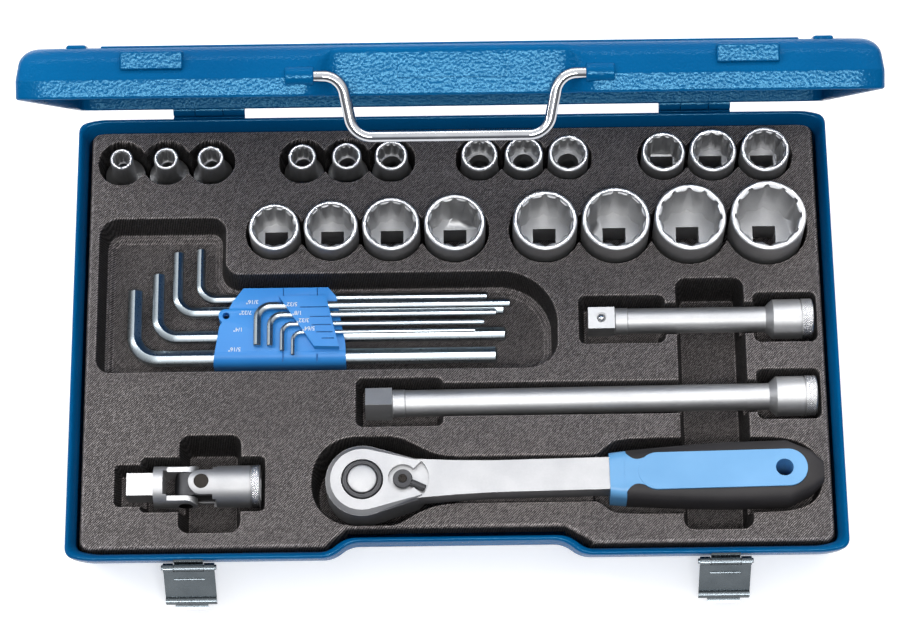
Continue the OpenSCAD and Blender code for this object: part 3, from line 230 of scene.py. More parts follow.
def grained_sheet():
    """Black polystyrene sheet with a leather grain: slanting ridges 1 mm apart, their paler backs partly a
    painted highlight.
    """
    made, tree = start_material("grained_polystyrene_black")
    place = put(tree, "ShaderNodeTexCoord").outputs["Object"]
    # a wave repeats every 2 pi / 20 of a unit, so here every 0.42 * 314 / 135 = 1 mm, on a slant
    slanted = put(tree, "ShaderNodeMapping", {"Vector": place, "Rotation": (0, 0, 0.8),
                                              "Scale": (0.8, 0.42, 1)}, vector_type="TEXTURE")
    ridges = put(tree, "ShaderNodeTexWave", {"Vector": slanted.outputs[0], "Scale": 135.0, "Distortion": 3.6,
                                             "Detail": 1.0, "Detail Scale": 5.0, "Detail Roughness": 0.6},
                 bands_direction="Y")
    broad = put(tree, "ShaderNodeTexNoise", {"Vector": place, "Scale": 9.0, "Detail": 3.0})
    # the grain's tone: dark hollows and pale ridge backs, the pale partly a painted highlight
    tone = put(tree, "ShaderNodeValToRGB", {"Fac": ridges.outputs["Fac"]})
    stops(tone, [(0.1, "#352F2E"), (0.5, "#605957"), (0.92, "#A8A19F")])
    shade = put(tree, "ShaderNodeMapRange", {"Value": broad.outputs["Fac"], "From Min": 0.3, "From Max": 0.7,
                                             "To Min": 0.92, "To Max": 1.12})
    # painted shade and highlight by which way the skin faces: steep walls darker, rounded rims paler
    facing = put(tree, "ShaderNodeTexCoord").outputs["Normal"]
    slope = put(tree, "ShaderNodeSeparateXYZ", {"Vector": facing}).outputs["Z"]
    painted_slope_light = put(tree, "ShaderNodeValToRGB", {"Fac": slope})
    stops(painted_slope_light, [(0.0, "#3C3C3C"), (0.45, "#5A5A5A"), (0.7, "#D8D8D8"), (0.88, "#FFFFFF"),
                  (0.985, "#BCBCBC")])
    # painted shade: darker towards the foot of the pockets, paler on top
    height = put(tree, "ShaderNodeSeparateXYZ", {"Vector": place}).outputs["Z"]
    depth = put(tree, "ShaderNodeMapRange", {"Value": height, "From Min": 0.008, "From Max": 0.034,
                                             "To Min": 1.3, "To Max": 1.72})
    lit = put(tree, "ShaderNodeMath", {0: shade.outputs[0], 1: depth.outputs[0]}, operation="MULTIPLY")
    skin = put(tree, "ShaderNodeVectorMath", {0: tone.outputs[0], 1: painted_slope_light.outputs[0]}, operation="MULTIPLY")
    colour = put(tree, "ShaderNodeVectorMath", {0: skin.outputs[0], 1: lit.outputs[0]}, operation="MULTIPLY")
    gloss = put(tree, "ShaderNodeMapRange", {"Value": ridges.outputs["Fac"], "To Min": 0.62, "To Max": 0.42})
    dents = put(tree, "ShaderNodeBump", {"Height": ridges.outputs["Fac"], "Strength": 0.9,
                                         "Distance": 0.0006})
    finish_material(tree, {"Base Color": colour.outputs[0], "Roughness": gloss.outputs[0],
                           "Normal": dents.outputs[0], "IOR": 1.55})
    return made


def white_floor():
    """Matt white paper that glows a little, so that shadows on it stay pale."""
    made, tree = start_material("matt_white_paper")
    place = put(tree, "ShaderNodeTexCoord").outputs["Object"]
    fibre = put(tree, "ShaderNodeTexNoise", {"Vector": place, "Scale": 400.0, "Detail": 2.0})
    dents = put(tree, "ShaderNodeBump", {"Height": fibre.outputs["Fac"], "Strength": 0.05,
                                         "Distance": 0.0002})
    finish_material(tree, {"Base Color": srgb("#E8E8E8"), "Roughness": 0.9, "Normal": dents.outputs[0],
                           "Specular IOR Level": 0.1, "Emission Color": srgb("#FFFFFF"),
                           "Emission Strength": 0.45})
    return made


# wrinkle enamel: deep blue, with small glints where a cell faces the light; inside, a copy with less sheen,
# as painted shade
PAINT = painted_steel("wrinkle_enamel_blue", 0.08)
PAINT_SHADED_INSIDE = painted_steel("wrinkle_enamel_blue_inside_painted_shade", 0.03)
# zinc plate on pressed steel: grey, with a soft line of light along each roll
ZINC = metal("bright_zinc_plate", "#4C5256", "#5A6064", 0.24, 0.3, depth=0)
# drawn and chromed wire: nearly a mirror, in sharp streaks
WIRE = metal("chromed_steel_wire", "#B4B6BB", "#C6C8CC", 0.07, 0.12, depth=0)
# blasted and then chromed: pale grey, with wide soft lights
SATIN = metal("satin_chrome_plate", "#C4C4C5", "#CECECE", 0.44, 0.56)
# the same plate on the ground mouths of the sockets, a brighter copy: partly their ground finish, partly a
# painted highlight that makes the rims stand out
MOUTH_CHROME_AND_HIGHLIGHT = metal("satin_chrome_of_sockets", "#D4D4D5", "#DEDEDF", 0.3, 0.38)
# polished and then chromed: clear, bright reflections
BRIGHT = metal("polished_chrome_plate", "#C2C2C4", "#CECED0", 0.18, 0.28)
# chemically blackened: dark grey with a dull sheen
DARK = metal("blackened_steel", "#3A3A3C", "#4A4A4C", 0.32, 0.46)
# drawn hexagon bar: long flats that are each one even tone
KEYS = metal("bright_key_steel", "#AEB8BE", "#BAC4C9", 0.27, 0.29, depth=0)
# forged, blasted and chromed: white where it faces the light, with no hard glint
MATT = metal("matt_chrome_forging", "#AEAEB0", "#BABABB", 0.48, 0.56)
# blackened in hot oil: the darkest steel, faintly shiny
BLACK = metal("oil_blackened_steel", "#242220", "#302D2B", 0.34, 0.44)
# moulded polypropylene: light blue and half gloss
CORE = plastic("blue_polypropylene", "#5A96C6", "#66A0CF", 0.35, 1500.0, 0.00004)
# moulded soft rubber: charcoal, with almost no shine
GRIP = plastic("charcoal_soft_rubber", "#2E2C2D", "#3A3738", 0.6, 1200.0, 0.0001)
# moulded nylon: mid blue and half gloss; its grooves are thin strips of a darker copy, painted shadow
HOLDER = plastic("blue_nylon", "#2A80CC", "#3289D4", 0.4, 1500.0, 0.00004)
GROOVE_SHADOW = plastic("blue_nylon_in_shadow", "#1A5E9E", "#1F66A8", 0.5, 1500.0, 0.00004)
# pad-printed ink: nearly white and matt
INK = plastic("white_print", "#DDE8F2", "#F2F6FA", 0.5, 1500.0, 0.00001)
# vacuum-formed polystyrene: grey ridges on a black ground, the grey partly a painted highlight, with painted
# shade and highlight by slope and depth
INSERT = grained_sheet()


# ---------- shaping ----------

def mesh_piece(name, shape, material, body, nodes=(), smooth=35.0):
    """Makes one named piece from a bmesh, riding on a body and standing for its CAD nodes."""
    mesh = bpy.data.meshes.new(name)
    shape.to_mesh(mesh)
    shape.free()
    mesh.shade_smooth()
    mesh.set_sharp_from_angle(angle=math.radians(smooth))
    for each in material if isinstance(material, (list, tuple)) else [material]:
        mesh.materials.append(each)
    piece = show(name, mesh)
    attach(piece, body)
    if nodes:
        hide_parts(*nodes)
    return piece


def solid_of(node):
    """A merged copy of a CAD node's mesh, its flat faces whole again."""
    shape = bmesh.new()
    shape.from_mesh(frame["nodes"][node].data)
    bmesh.ops.remove_doubles(shape, verts=shape.verts, dist=0.00002)
    bmesh.ops.dissolve_limit(shape, angle_limit=math.radians(0.6), verts=shape.verts, edges=shape.edges)
    return shape


def round_edges(shape, edges, width, segments):
    """Rounds some edges by a width in mm."""
    return bmesh.ops.bevel(shape, geom=edges, offset=width * MM, offset_type="OFFSET", segments=segments,
                           profile=0.5, affect="EDGES", clamp_overlap=True, material=-1)


def ease_edges(shape, width, angle=30.0, segments=2, wanted=None):
    """Rounds the edges that are sharper than an angle and pass a test, if there is one."""
    sharp = [e for e in shape.edges if len(e.link_faces) == 2 and e.calc_face_angle(0) > math.radians(angle)
             and (wanted is None or wanted(e))]
    round_edges(shape, sharp, width, segments)


def even_shading(piece):
    """Weights the normals by the size of the faces, so that flats look flat beside their rounded edges."""
    piece.modifiers.new("even_shading", "WEIGHTED_NORMAL").keep_sharp = True


def body_of(node):
    return frame["nodes"][node]["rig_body"]


def dress(node, material, width=0.3, angle=30.0, segments=2):
    """Stands a piece with eased edges in a CAD node's place."""
    shape = solid_of(node)
    if width:
        ease_edges(shape, width, angle, segments)
    even_shading(mesh_piece(node + "_piece", shape, material, body_of(node), [node]))


def keep_node(node, material):
    """Leaves a CAD node showing, in its finish."""
    thing = frame["nodes"][node]
    thing.data.materials.clear()
    thing.data.materials.append(material)


# ---------- tool insert: pockets as distances from their outlines ----------

# the sheet in mm: its level, the mesh of its grid, its border and the rounding of that border
INSERT_TOP = 35.0
INSERT_STEP = 0.62
INSERT_BORDER = (-205.5, -123.4, 205.5, 126.6)
INSERT_CORNER, INSERT_ROLL = 6, 3.2
# the insert's edge in front, round the inside of the hand recess
RECESS_NOTCH = [(-71.5, -140), (-71.5, -123.2), (-59.4, -113.4), (58.6, -113.4), (73, -122), (73, -140)]
# levels in the pocket of the hexagon keys
KEY_LEDGE, KEY_FLOOR = 16.6, 14.0
SOCKETS = sorted(n for n in frame["nodes"] if n.startswith("socket_"))


def box_reach(x, y, x0, y0, x1, y1, corner):
    """Signed distance to a rectangle with rounded corners, less than 0 inside."""
    dx = np.abs(x - (x0 + x1) / 2) - (x1 - x0) / 2 + corner
    dy = np.abs(y - (y0 + y1) / 2) - (y1 - y0) / 2 + corner
    return np.hypot(np.maximum(dx, 0), np.maximum(dy, 0)) + np.minimum(np.maximum(dx, dy), 0) - corner


def outline_reach(x, y, corners):
    """Signed distance to a closed polygon, less than 0 inside."""
    best = np.full(x.shape, 1e9)
    inside = np.zeros(x.shape, bool)
    for (ax, ay), (bx, by) in zip(corners, corners[1:] + corners[:1]):
        ex, ey = bx - ax, by - ay
        along = np.clip(((x - ax) * ex + (y - ay) * ey) / (ex * ex + ey * ey), 0, 1)
        best = np.minimum(best, np.hypot(x - ax - along * ex, y - ay - along * ey))
        crosses = (ay > y) != (by > y)
        if ey:
            inside ^= crosses & (x < ax + (y - ay) * ex / ey)
    return np.where(inside, -best, best)


def softened(corners, times=2):
    """A closed outline with its corners cut back, again and again, into curves."""
    for _ in range(times):
        cut = []
        for (ax, ay), (bx, by) in zip(corners, corners[1:] + corners[:1]):
            cut += [(ax * 0.75 + bx * 0.25, ay * 0.75 + by * 0.25),
                    (ax * 0.25 + bx * 0.75, ay * 0.25 + by * 0.75)]
        corners = cut
    return corners


def lower_of(one, other, soft):
    """The lower of two heights or distances, with the crease between them rounded."""
    blend = np.clip(0.5 + 0.5 * (other - one) / soft, 0, 1)
    return other * (1 - blend) + one * blend - soft * blend * (1 - blend)


def sunk(reach, floor, draft, rim=1.6, fillet=1.5, top=INSERT_TOP):
    """Height over a pocket: a soft rim, a wall that leans in by its draft, and a rounded foot."""
    z = top - np.clip(-reach / draft, -1, 2) * (top - floor)
    z = lower_of(top, z, 2 * rim)
    return -lower_of(-floor, -z, 2 * fillet)


def ring_arc(cx, cy, radius, start, stop, count=10):
    """Points of an arc, in millimetres and degrees."""
    turns = [math.radians(start + (stop - start) * k / count) for k in range(count + 1)]
    return [(cx + radius * math.cos(turn), cy + radius * math.sin(turn)) for turn in turns]


def extension_bed(x, y, x0, y0, x1, y1, half_neck):
    """The bed of an extension: tang end, neck and barrel end, at their own depths."""
    tang = box_reach(x, y, x0 - 5.2, y0 - 14.6, x0 + 43, y0 + 13.8, 4)
    middle = (y0 + y1) / 2
    neck = box_reach(x, y, x0 + 30, middle - half_neck - 1, x1 - 26, middle + half_neck + 0.6, 1)
    barrel = box_reach(x, y, x1 - 33, y1 - 14.9, x1 + 2.2, y1 + 14.6, 4)
    z = sunk(tang, 19.2, 3.4)
    z = np.minimum(z, sunk(neck, 21.2, 2.6))
    return np.minimum(z, sunk(barrel, 17.6, 3.0))


def border_reach(x, y):
    """Signed distance to the insert's border, less than 0 on the sheet."""
    return np.maximum(box_reach(x, y, *INSERT_BORDER, INSERT_CORNER), -outline_reach(x, y, RECESS_NOTCH))


def rolled_border(reach):
    """Height near the border: flat, then rolled over the edge."""
    past = np.clip(reach + INSERT_ROLL, 0, INSERT_ROLL)
    return INSERT_TOP - (INSERT_ROLL - np.sqrt(np.maximum(INSERT_ROLL ** 2 - past ** 2, 0))) * 1.4


def insert_height(x, y):
    """Height of the insert's skin over a place in the tray, in millimetres."""
    z = rolled_border(border_reach(x, y))
    # one round pocket for each socket, run together where they are close
    round_ones = None
    for node in SOCKETS:
        low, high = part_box(node)
        cx, cy = (low.x + high.x) / 2 / MM, (low.y + high.y) / 2 / MM
        disc = np.hypot(x - cx, y - cy) - (high.x - low.x) / 2 / MM - 2.1
        round_ones = disc if round_ones is None else lower_of(round_ones, disc, 2.5)
    z = np.minimum(z, sunk(round_ones, 2.6, 1.3, rim=1.3))
    # hexagon keys: one wide pocket with a ledge round its foot
    keys = outline_reach(x, y, ring_arc(-191, -12.3, 8, 180, 270) + ring_arc(40.6, -3.3, 17, 270, 350)
                         + ring_arc(25.6, 5.5, 32, 5, 90) + ring_arc(-119.8, 45.5, 8, 270, 180)
                         + ring_arc(-136.8, 63.2, 9, 0, 90) + ring_arc(-188, 61.2, 11, 90, 180))
    ledge = sunk(keys + 5.2, KEY_FLOOR, 1.6, 0.7, 0.7, KEY_LEDGE)
    z = np.minimum(z, np.maximum(sunk(keys, KEY_FLOOR, 3.6), ledge))
    # the two extensions
    z = np.minimum(z, extension_bed(x, y, 74.5, 8, 199.5, 8, 8.6))
    z = np.minimum(z, extension_bed(x, y, -49.6, -39.3, 199.4, -37.5, 8.8))
    # universal joint
    tip = box_reach(x, y, -186.8, -98.3, -164, -74.4, 3)
    body = box_reach(x, y, -172.6, -101.8, -104.4, -70.4, 3)
    well = box_reach(x, y, -151.6, -113.8, -117.7, -57.8, 6)
    z = np.minimum(z, sunk(tip, 21.0, 2.6))
    z = np.minimum(z, sunk(body, 17.6, 3.0))
    z = np.minimum(z, sunk(well, 8.4, 3.6))
    # ratchet: head, neck and the wide bed of its grip
    ratchet = outline_reach(x, y, softened([
        (-79.4, -85.2), (-77.5, -74.5), (-71.5, -65.6), (-62, -60.4), (-51.9, -59.5), (-32.2, -59.5),
        (-22.4, -64.7), (-9.9, -71.2), (4, -71.8), (4, -99), (-10.1, -99.4), (-20.6, -103.6), (-29.7, -109.6),
        (-36.5, -111.2), (-57.9, -110.9), (-65.3, -109.2), (-73.6, -103.4), (-78.2, -95)]))
    neck = box_reach(x, y, -20, -98.6, 90, -71.8, 2)
    bed = outline_reach(x, y, softened([
        (73, -98.4), (77.1, -98.4), (82.8, -103.5), (88.5, -106.0), (120, -106.2), (162.2, -106.2),
        (181.6, -105.4), (190.5, -103.2), (198.0, -97.4), (201.0, -84.7), (196.1, -70.4), (182.5, -63.4),
        (161.2, -62.6), (123, -62.4), (89.8, -62.8), (82.8, -66.6), (77.8, -71.7), (73, -71.7)]))
    z = np.minimum(z, sunk(ratchet, 7.0, 3.0))
    z = np.minimum(z, sunk(neck, 27.8, 2.2))
    z = np.minimum(z, sunk(bed, 20.4, 2.8))
    # finger well across the extensions and the handle
    well = box_reach(x, y, 123.6, -115.4, 161.6, 31.6, 6)
    return np.minimum(z, sunk(well, 8.4, 3.6))


def insert_tile(name, x0, x1, y0, y1):
    """One tile of the insert: a fine grid, pressed to its heights and cut off at the border."""
    shape = bmesh.new()
    bmesh.ops.create_grid(shape, x_segments=round((x1 - x0) / INSERT_STEP),
                          y_segments=round((y1 - y0) / INSERT_STEP), size=0.5)
    mesh = bpy.data.meshes.new("insert")
    shape.to_mesh(mesh)
    shape.free()
    place = np.empty(len(mesh.vertices) * 3, np.float32)
    mesh.vertices.foreach_get("co", place)
    place = place.reshape(-1, 3)
    x = (place[:, 0] + 0.5) * (x1 - x0) + x0
    y = (place[:, 1] + 0.5) * (y1 - y0) + y0
    # past the border the sheet turns down, and then it ends
    beyond = border_reach(x, y)
    z = np.where(beyond > 0, INSERT_TOP - 4.5 - np.clip(beyond, 0, 1.2) * 9, insert_height(x, y))
    place[:, 0], place[:, 1], place[:, 2] = x * MM, y * MM, z * MM
    mesh.vertices.foreach_set("co", place.ravel())
    mesh.update()
    shape = bmesh.new()
    shape.from_mesh(mesh)
    gone = [v for v, far in zip(shape.verts, beyond) if far > 0.9]
    bmesh.ops.delete(shape, geom=gone, context="VERTS")
    shape.to_mesh(mesh)
    shape.free()
    mesh.shade_smooth()
    mesh.materials.append(INSERT)
    piece = show(name, mesh)
    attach(piece, "case_tray")
    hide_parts("tool_insert")


# four tiles of one sheet, which share their borders
X_CUTS, Y_CUTS = (-206.4, 0.0, 206.4), (-124.2, 1.4, 127.0)
for i in range(2):
    for j in range(2):
        insert_tile("tool_insert_tile_%d%d" % (i, j), X_CUTS[i], X_CUTS[i + 1], Y_CUTS[j], Y_CUTS[j + 1])

# ---------- case ----------

# the lid swings about its hinge, and is drawn closed and then opened to its rest
HINGE = Vector((0, 136, 42.175)) * MM
LID_OPEN = math.radians(65.9)
LID_RIM = 42.35
# the case's outline and heights, and how its corners are cut
HALF_WIDTH, HALF_DEPTH = 212, 131
TRAY_HEIGHT, LID_HEIGHT = 42, 25.4
CORNER_ALONG, CORNER_IN = 11, 2.8
# height of the band at the rim, width of the rolled hem, thickness of the sheet, step above the band
BAND, HEM, SHEET, STEP = 9.5, 2.6, 0.9, 1.2
# the hand recess: half widths of its mouth and floor, and its depth
RECESS_MOUTH, RECESS_FLOOR, RECESS_DEEP = 68.0, 57.5, 8.6
LATCH_X = abs(sum(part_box("latch_left_plate"), Vector()).x / 2) / MM


def round_some(shape, width, segments, wanted, angle=12.0):
    """Rounds the edges whose two ends, in mm, pass a test."""
    picked = [e for e in shape.edges if len(e.link_faces) == 2 and e.calc_face_angle(0) > math.radians(angle)
              and wanted(*(v.co / MM for v in e.verts))]
    round_edges(shape, picked, width, segments)


def bent_corner(before, corner, after, reach, count=7):
    """Points of a smooth bend that takes the place of a corner."""
    first, last = before - corner, after - corner
    first *= min(reach, first.length * 0.48) / max(first.length, 0.001)
    last *= min(reach, last.length * 0.48) / max(last.length, 0.001)
    ways = [i / (count - 1) for i in range(count)]
    return [corner + first * (1 - t) ** 2 + last * t ** 2 for t in ways]


def case_ring(front, side, back, skin):
    """A level line of a case half, seen from above: cut corners, and the hand recess in its front."""
    x, near, far = HALF_WIDTH - side, front - HALF_DEPTH, HALF_DEPTH - back
    deep = max(RECESS_DEEP + skin - HALF_DEPTH, near)
    floor = RECESS_FLOOR + skin
    mouth = floor + max((deep - near) * (RECESS_MOUTH - RECESS_FLOOR) / RECESS_DEEP, 0.6)
    cut = x - CORNER_ALONG
    corners = [Vector(c) for c in [
        (-mouth, near), (-floor, deep), (floor, deep), (mouth, near), (cut, near), (x, near + CORNER_IN),
        (x, far - CORNER_IN), (cut, far), (-cut, far), (-x, far - CORNER_IN), (-x, near + CORNER_IN),
        (-cut, near)]]
    ring = []
    for k, corner in enumerate(corners):
        ring += bent_corner(corners[k - 1], corner, corners[(k + 1) % len(corners)], 6.0 if k < 4 else 5.0)
    return ring


def ease(value, start, stop):
    """Goes from 0 to 1 between two values, slowly at both ends."""
    t = min(max((value - start) / (stop - start), 0), 1)
    return t * t * (3 - 2 * t)


def case_half(height, front_run, side_run, recess_run, rounding, flare, step, place):
    """A pressed pan as one closed sheet: rolled hem, band, leaning walls, a rounded edge and a floor."""
    def level(up, base, skin):
        lean = max(up - BAND, 0) / (height - BAND)

        def pull(radius):
            over = min(max(up - (height - radius), 0), radius - skin)
            return (radius - skin) - math.sqrt((radius - skin) ** 2 - over ** 2)
        ring = case_ring(base + front_run * lean + pull(rounding), base + side_run * lean + pull(rounding),
                         base + 0.6 * lean + pull(3), skin + recess_run * lean)
        return [place(Vector((p.x, p.y, up))) * MM for p in ring]
    # outside, from the floor down to the hem; then round the hem; then inside, back up to the floor
    outer = [height - rounding * (1 - math.sin(math.radians(a))) for a in (90, 80, 70, 60, 48, 36, 24, 12, 0)]
    outer += [up for up in (height * 0.55, 14.0, 12.2, 11.4, 10.8, 10.2, 9.6, 9.0) if up < outer[-1] - 0.5]
    outer += [6.5, 4.0, 2.6]
    rings = [level(up, step * ease(up, 1.3, 11.8), 0) for up in outer]
    rings += [level(up, base, base) for up, base in [
        (1.3, 0), (0.7, 0.14), (0.25, 0.5), (0.02, 1.0), (0.02, 1.5), (0.25, 2.05), (0.7, 2.5)]]
    rings += [level(up, base, HEM) for up, base in [(2.0, HEM + 0.35 * flare), (5.0, HEM + 0.8 * flare),
                                                    (8.6, HEM + flare), (9.6, HEM + flare)]]
    inner = [up for up in sorted(outer) if 10.0 < up < height - SHEET - 0.2]
    rings += [level(up, step * ease(up, 9.0, 11.8) + SHEET, SHEET) for up in inner]
    rings.append(level(height - SHEET, step + SHEET, SHEET))
    shape = bmesh.new()
    loops = [[shape.verts.new(point) for point in ring] for ring in rings]
    for count, (above, below) in enumerate(zip(loops, loops[1:])):
        for k in range(len(above)):
            made = shape.faces.new((above[k - 1], above[k], below[k], below[k - 1]))
            # faces inside the pan take the second finish: the enamel with less sheen, as painted shade
            made.material_index = int(count > len(outer) + 4)
    shape.faces.new(loops[0])
    shape.faces.new(loops[-1]).material_index = 1
    bmesh.ops.remove_doubles(shape, verts=shape.verts, dist=0.00002)
    bmesh.ops.recalc_face_normals(shape, faces=shape.faces)
    return shape


def slab(shape, low, high, width, segments=3):
    """Adds a box between two corners in mm, its edges rounded."""
    made = bmesh.ops.create_cube(shape, size=1.0)["verts"]
    low, high = Vector(low), Vector(high)
    for v in made:
        v.co = Vector((low[k] + (v.co[k] + 0.5) * (high[k] - low[k]) for k in range(3))) * MM
    round_edges(shape, list({e for v in made for e in v.link_edges}), width, segments)


def dress_tray():
    """The tray: its floor is underneath, so the pan is turned over."""
    shape = case_half(TRAY_HEIGHT, front_run=10.18, side_run=2.56, recess_run=10.0, rounding=4.0, flare=2.6,
                      step=STEP, place=lambda p: Vector((p.x, p.y, TRAY_HEIGHT - p.z)))
    even_shading(mesh_piece("tray_shell_piece", shape, [PAINT, PAINT_SHADED_INSIDE], "case_tray", ["tray_shell"],
                            smooth=40))


def dress_lid():
    """The lid, with its raised panel, its four feet and the bosses that take the latches."""
    shape = case_half(LID_HEIGHT, front_run=7.5, side_run=2.0, recess_run=0.0, rounding=8.0, flare=0,
                      step=0.0, place=lambda p: Vector((p.x, p.y, LID_RIM + p.z)))
    top = LID_RIM + LID_HEIGHT
    slab(shape, (-171, -116.4, top - 0.6), (171, 117, top + 0.8), 0.7)
    for x in (-183, 183):
        for y in (-112, 112):
            slab(shape, (x - 5, y - 5, top - 1.2), (x + 5, y + 5, top + 1.5), 1.4, 4)
        latch = math.copysign(LATCH_X, x)
        slab(shape, (latch - 15.3, -130.4, LID_RIM + 14), (latch + 15.3, -124.4, LID_RIM + 23), 0.9, 4)
    # a bare raised place for a name, on the wall of the hand recess
    slab(shape, (-25.5, -122.62, LID_RIM + 8.8), (27.5, -121.35, LID_RIM + 20.4), 0.25, 2)
    bmesh.ops.recalc_face_normals(shape, faces=shape.faces)
    bmesh.ops.rotate(shape, verts=shape.verts, cent=HINGE, matrix=Matrix.Rotation(-LID_OPEN, 3, "X"))
    even_shading(mesh_piece("lid_shell_piece", shape, [PAINT, PAINT_SHADED_INSIDE], "case_lid", ["lid_shell"],
                            smooth=40))


dress_tray()
dress_lid()
# folded strips of the tray's leaves, under the middle knuckles
for side, middle in [("left", -138), ("right", 138)]:
    shape = bmesh.new()
    slab(shape, (middle - 11, 130.6, 37.9), (middle + 11, 137.6, 38.35), 0.15, 2)
    mesh_piece("hinge_strip_" + side, shape, PAINT, "case_tray")
dress("hinge_tray_leaves", PAINT, 0.2)
dress("hinge_lid_leaves", PAINT, 0.2)
dress("handle_sleeves", PAINT, 1.1, 40, 4)
keep_node("hinge_pins", PAINT)
keep_node("carry_handle", WIRE)
dress("latch_brackets", ZINC, 0.2)
dress("latch_pins", ZINC, 0.3)
dress("latch_left_plate", ZINC, 0.25)
dress("latch_right_plate", ZINC, 0.25)

# ---------- sockets ----------

def dress_socket(node):
    """A socket with rounded outer rims and sharp points, as forged and broached."""
    shape = solid_of(node)
    low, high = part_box(node)
    middle = (low + high) / 2
    reach = (high.x - low.x) / 2 - 1.2 * MM

    def on_outer_rim(edge):
        one, other = edge.verts
        far = all(math.hypot(v.co.x - middle.x, v.co.y - middle.y) > reach for v in edge.verts)
        return far and abs(one.co.z - other.co.z) < 0.1 * MM
    ease_edges(shape, 0.3, 35, 2, on_outer_rim)
    # the ground mouth, in the brighter copy of the chrome, partly a painted highlight
    for face in shape.faces:
        if face.calc_center_median().z > high.z - 0.5 * MM and face.normal.z > 0.5:
            face.material_index = 1
    even_shading(mesh_piece(node + "_piece", shape, [SATIN, MOUTH_CHROME_AND_HIGHLIGHT], body_of(node), [node],
                            smooth=24))


for node in SOCKETS:
    dress_socket(node)

# ---------- other tools ----------

LARGE_KEYS = {"hex_key_5_16", "hex_key_1_4", "hex_key_7_32", "hex_key_3_16"}


def bent_key(node, upward):
    """A hexagon bar bent to an L and lying with a corner up, its ends chamfered, one arm across the case."""
    low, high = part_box(node)
    flats, side = high.z - low.z, 1 if upward else -1
    corner = flats / 2 / math.cos(math.radians(30))
    bend, z = flats * 1.5 + 1.6 * MM, (low.z + high.z) / 2
    x, y = low.x + corner, (low.y + corner if upward else high.y - corner)
    tip = high.y if upward else low.y
    chamfer = 0.12 * flats
    path = [(x, tip, 0.8), (x, tip - side * chamfer, 1), (x, y + side * bend * 1.02, 1)]
    for k in range(15):
        a = math.radians(180 + 90 * k / 14)
        path.append((x + bend + bend * math.cos(a), y + side * (bend + bend * math.sin(a)), 1))
    path += [(x + bend * 1.02, y, 1), (high.x - chamfer, y, 1), (high.x, y, 0.8)]
    shape = bmesh.new()
    rings = []
    for k, (px, py, size) in enumerate(path):
        ahead, behind = path[min(k + 1, len(path) - 1)], path[max(k - 1, 0)]
        way = Vector((ahead[0] - behind[0], ahead[1] - behind[1], 0)).normalized()
        across = Vector((-way.y, way.x, 0))
        ring = []
        for n in range(6):
            a = math.radians(30 + 60 * n)
            spoke = across * math.cos(a) + Vector((0, 0, math.sin(a)))
            ring.append(shape.verts.new(Vector((px, py, z)) + spoke * corner * size))
        rings.append(ring)
    for before, after in zip(rings, rings[1:]):
        for n in range(6):
            shape.faces.new((before[n - 1], before[n], after[n], after[n - 1]))
    shape.faces.new(rings[0])
    shape.faces.new(rings[-1])
    bmesh.ops.recalc_face_normals(shape, faces=shape.faces)
    ease_edges(shape, flats / MM * 0.025, 40, 2)
    mesh_piece(node + "_piece", shape, KEYS, body_of(node), [node], smooth=34)


for node, finish, slot, width in [
        ("ratchet_head", MATT, "satin_chrome", 0.5), ("ratchet_back_cover", BRIGHT, "bright_steel", 0.2),
        ("ratchet_ring", DARK, "dark_steel", 0.3), ("ratchet_drive", BRIGHT, "bright_steel", 0.4),
        ("ratchet_button", MATT, "satin_chrome", 0.3), ("ratchet_lever", DARK, "dark_steel", 0.3),
        ("ratchet_pawl", DARK, "dark_steel", 0.2), ("ratchet_handle_core", CORE, "core_plastic", 0.6),
        ("ratchet_grip", GRIP, "grip_plastic", 0.6), ("universal_socket_fork", MATT, "satin_chrome", 0.5),
        ("universal_drive_fork", SATIN, "satin_chrome", 0.5), ("universal_cross", DARK, "dark_steel", 0.5),
        ("universal_pins", BLACK, "dark_steel", 0.3), ("extension_short", SATIN, "satin_chrome", 0.5),
        ("extension_long", SATIN, "satin_chrome", 0.5), ("ratchet_ball", BRIGHT, "bright_steel", 0)]:
    dress(node, finish, width)
# the key holder: its front end is well rounded, the edges of its top are eased
shape = solid_of("key_holder")
round_some(shape, 6.5, 7, lambda a, b: a.y < -13 and b.y < -13 and a.z > 28 and b.z > 28)
round_some(shape, 0.45, 2, lambda a, b: a.z > 28 and b.z > 28 and max(a.y, b.y) > -6, 25)
mesh_piece("key_holder_piece", shape, HOLDER, "key_holder", ["key_holder"], smooth=40)
for node in frame["nodes"]:
    if node.endswith("_ball") and node != "ratchet_ball":
        keep_node(node, BRIGHT)
    if node.startswith("hex_key_"):
        bent_key(node, node in LARGE_KEYS)

# ---------- small detail ----------

def knurled_band(name, x0, x1, y, z, radius, body):
    """A diamond-knurled ring round a lying tool, its ridges about 1.3 mm apart."""
    around, along, pitch = 288, 22, 1.3
    ridges = round(2 * math.pi * radius / pitch)
    shape = bmesh.new()
    bmesh.ops.create_grid(shape, x_segments=along, y_segments=around, size=0.5)
    for point in shape.verts:
        u, w = point.co.x + 0.5, point.co.y + 0.5
        across, round_it = (x1 - x0) * u / pitch, ridges * w
        one = abs((round_it + across) % 1 - 0.5) * 2
        other = abs((round_it - across) % 1 - 0.5) * 2
        brim = min(1.0, u * (x1 - x0) / 0.6, (1 - u) * (x1 - x0) / 0.6)
        reach = radius - 0.3 + brim * (0.1 + 0.42 * min(one, other, 0.7) / 0.7)
        a = 2 * math.pi * w
        point.co = Vector((x0 + (x1 - x0) * u, y + reach * math.cos(a), z + reach * math.sin(a))) * MM
    bmesh.ops.remove_doubles(shape, verts=shape.verts, dist=0.000001)
    first = next(iter(shape.faces))
    first.normal_update()
    middle = first.calc_center_median() - Vector((0, y, z)) * MM
    middle.x = 0
    if first.normal.dot(middle) < 0:
        bmesh.ops.reverse_faces(shape, faces=shape.faces)
    mesh_piece(name, shape, BRIGHT, body, smooth=60)


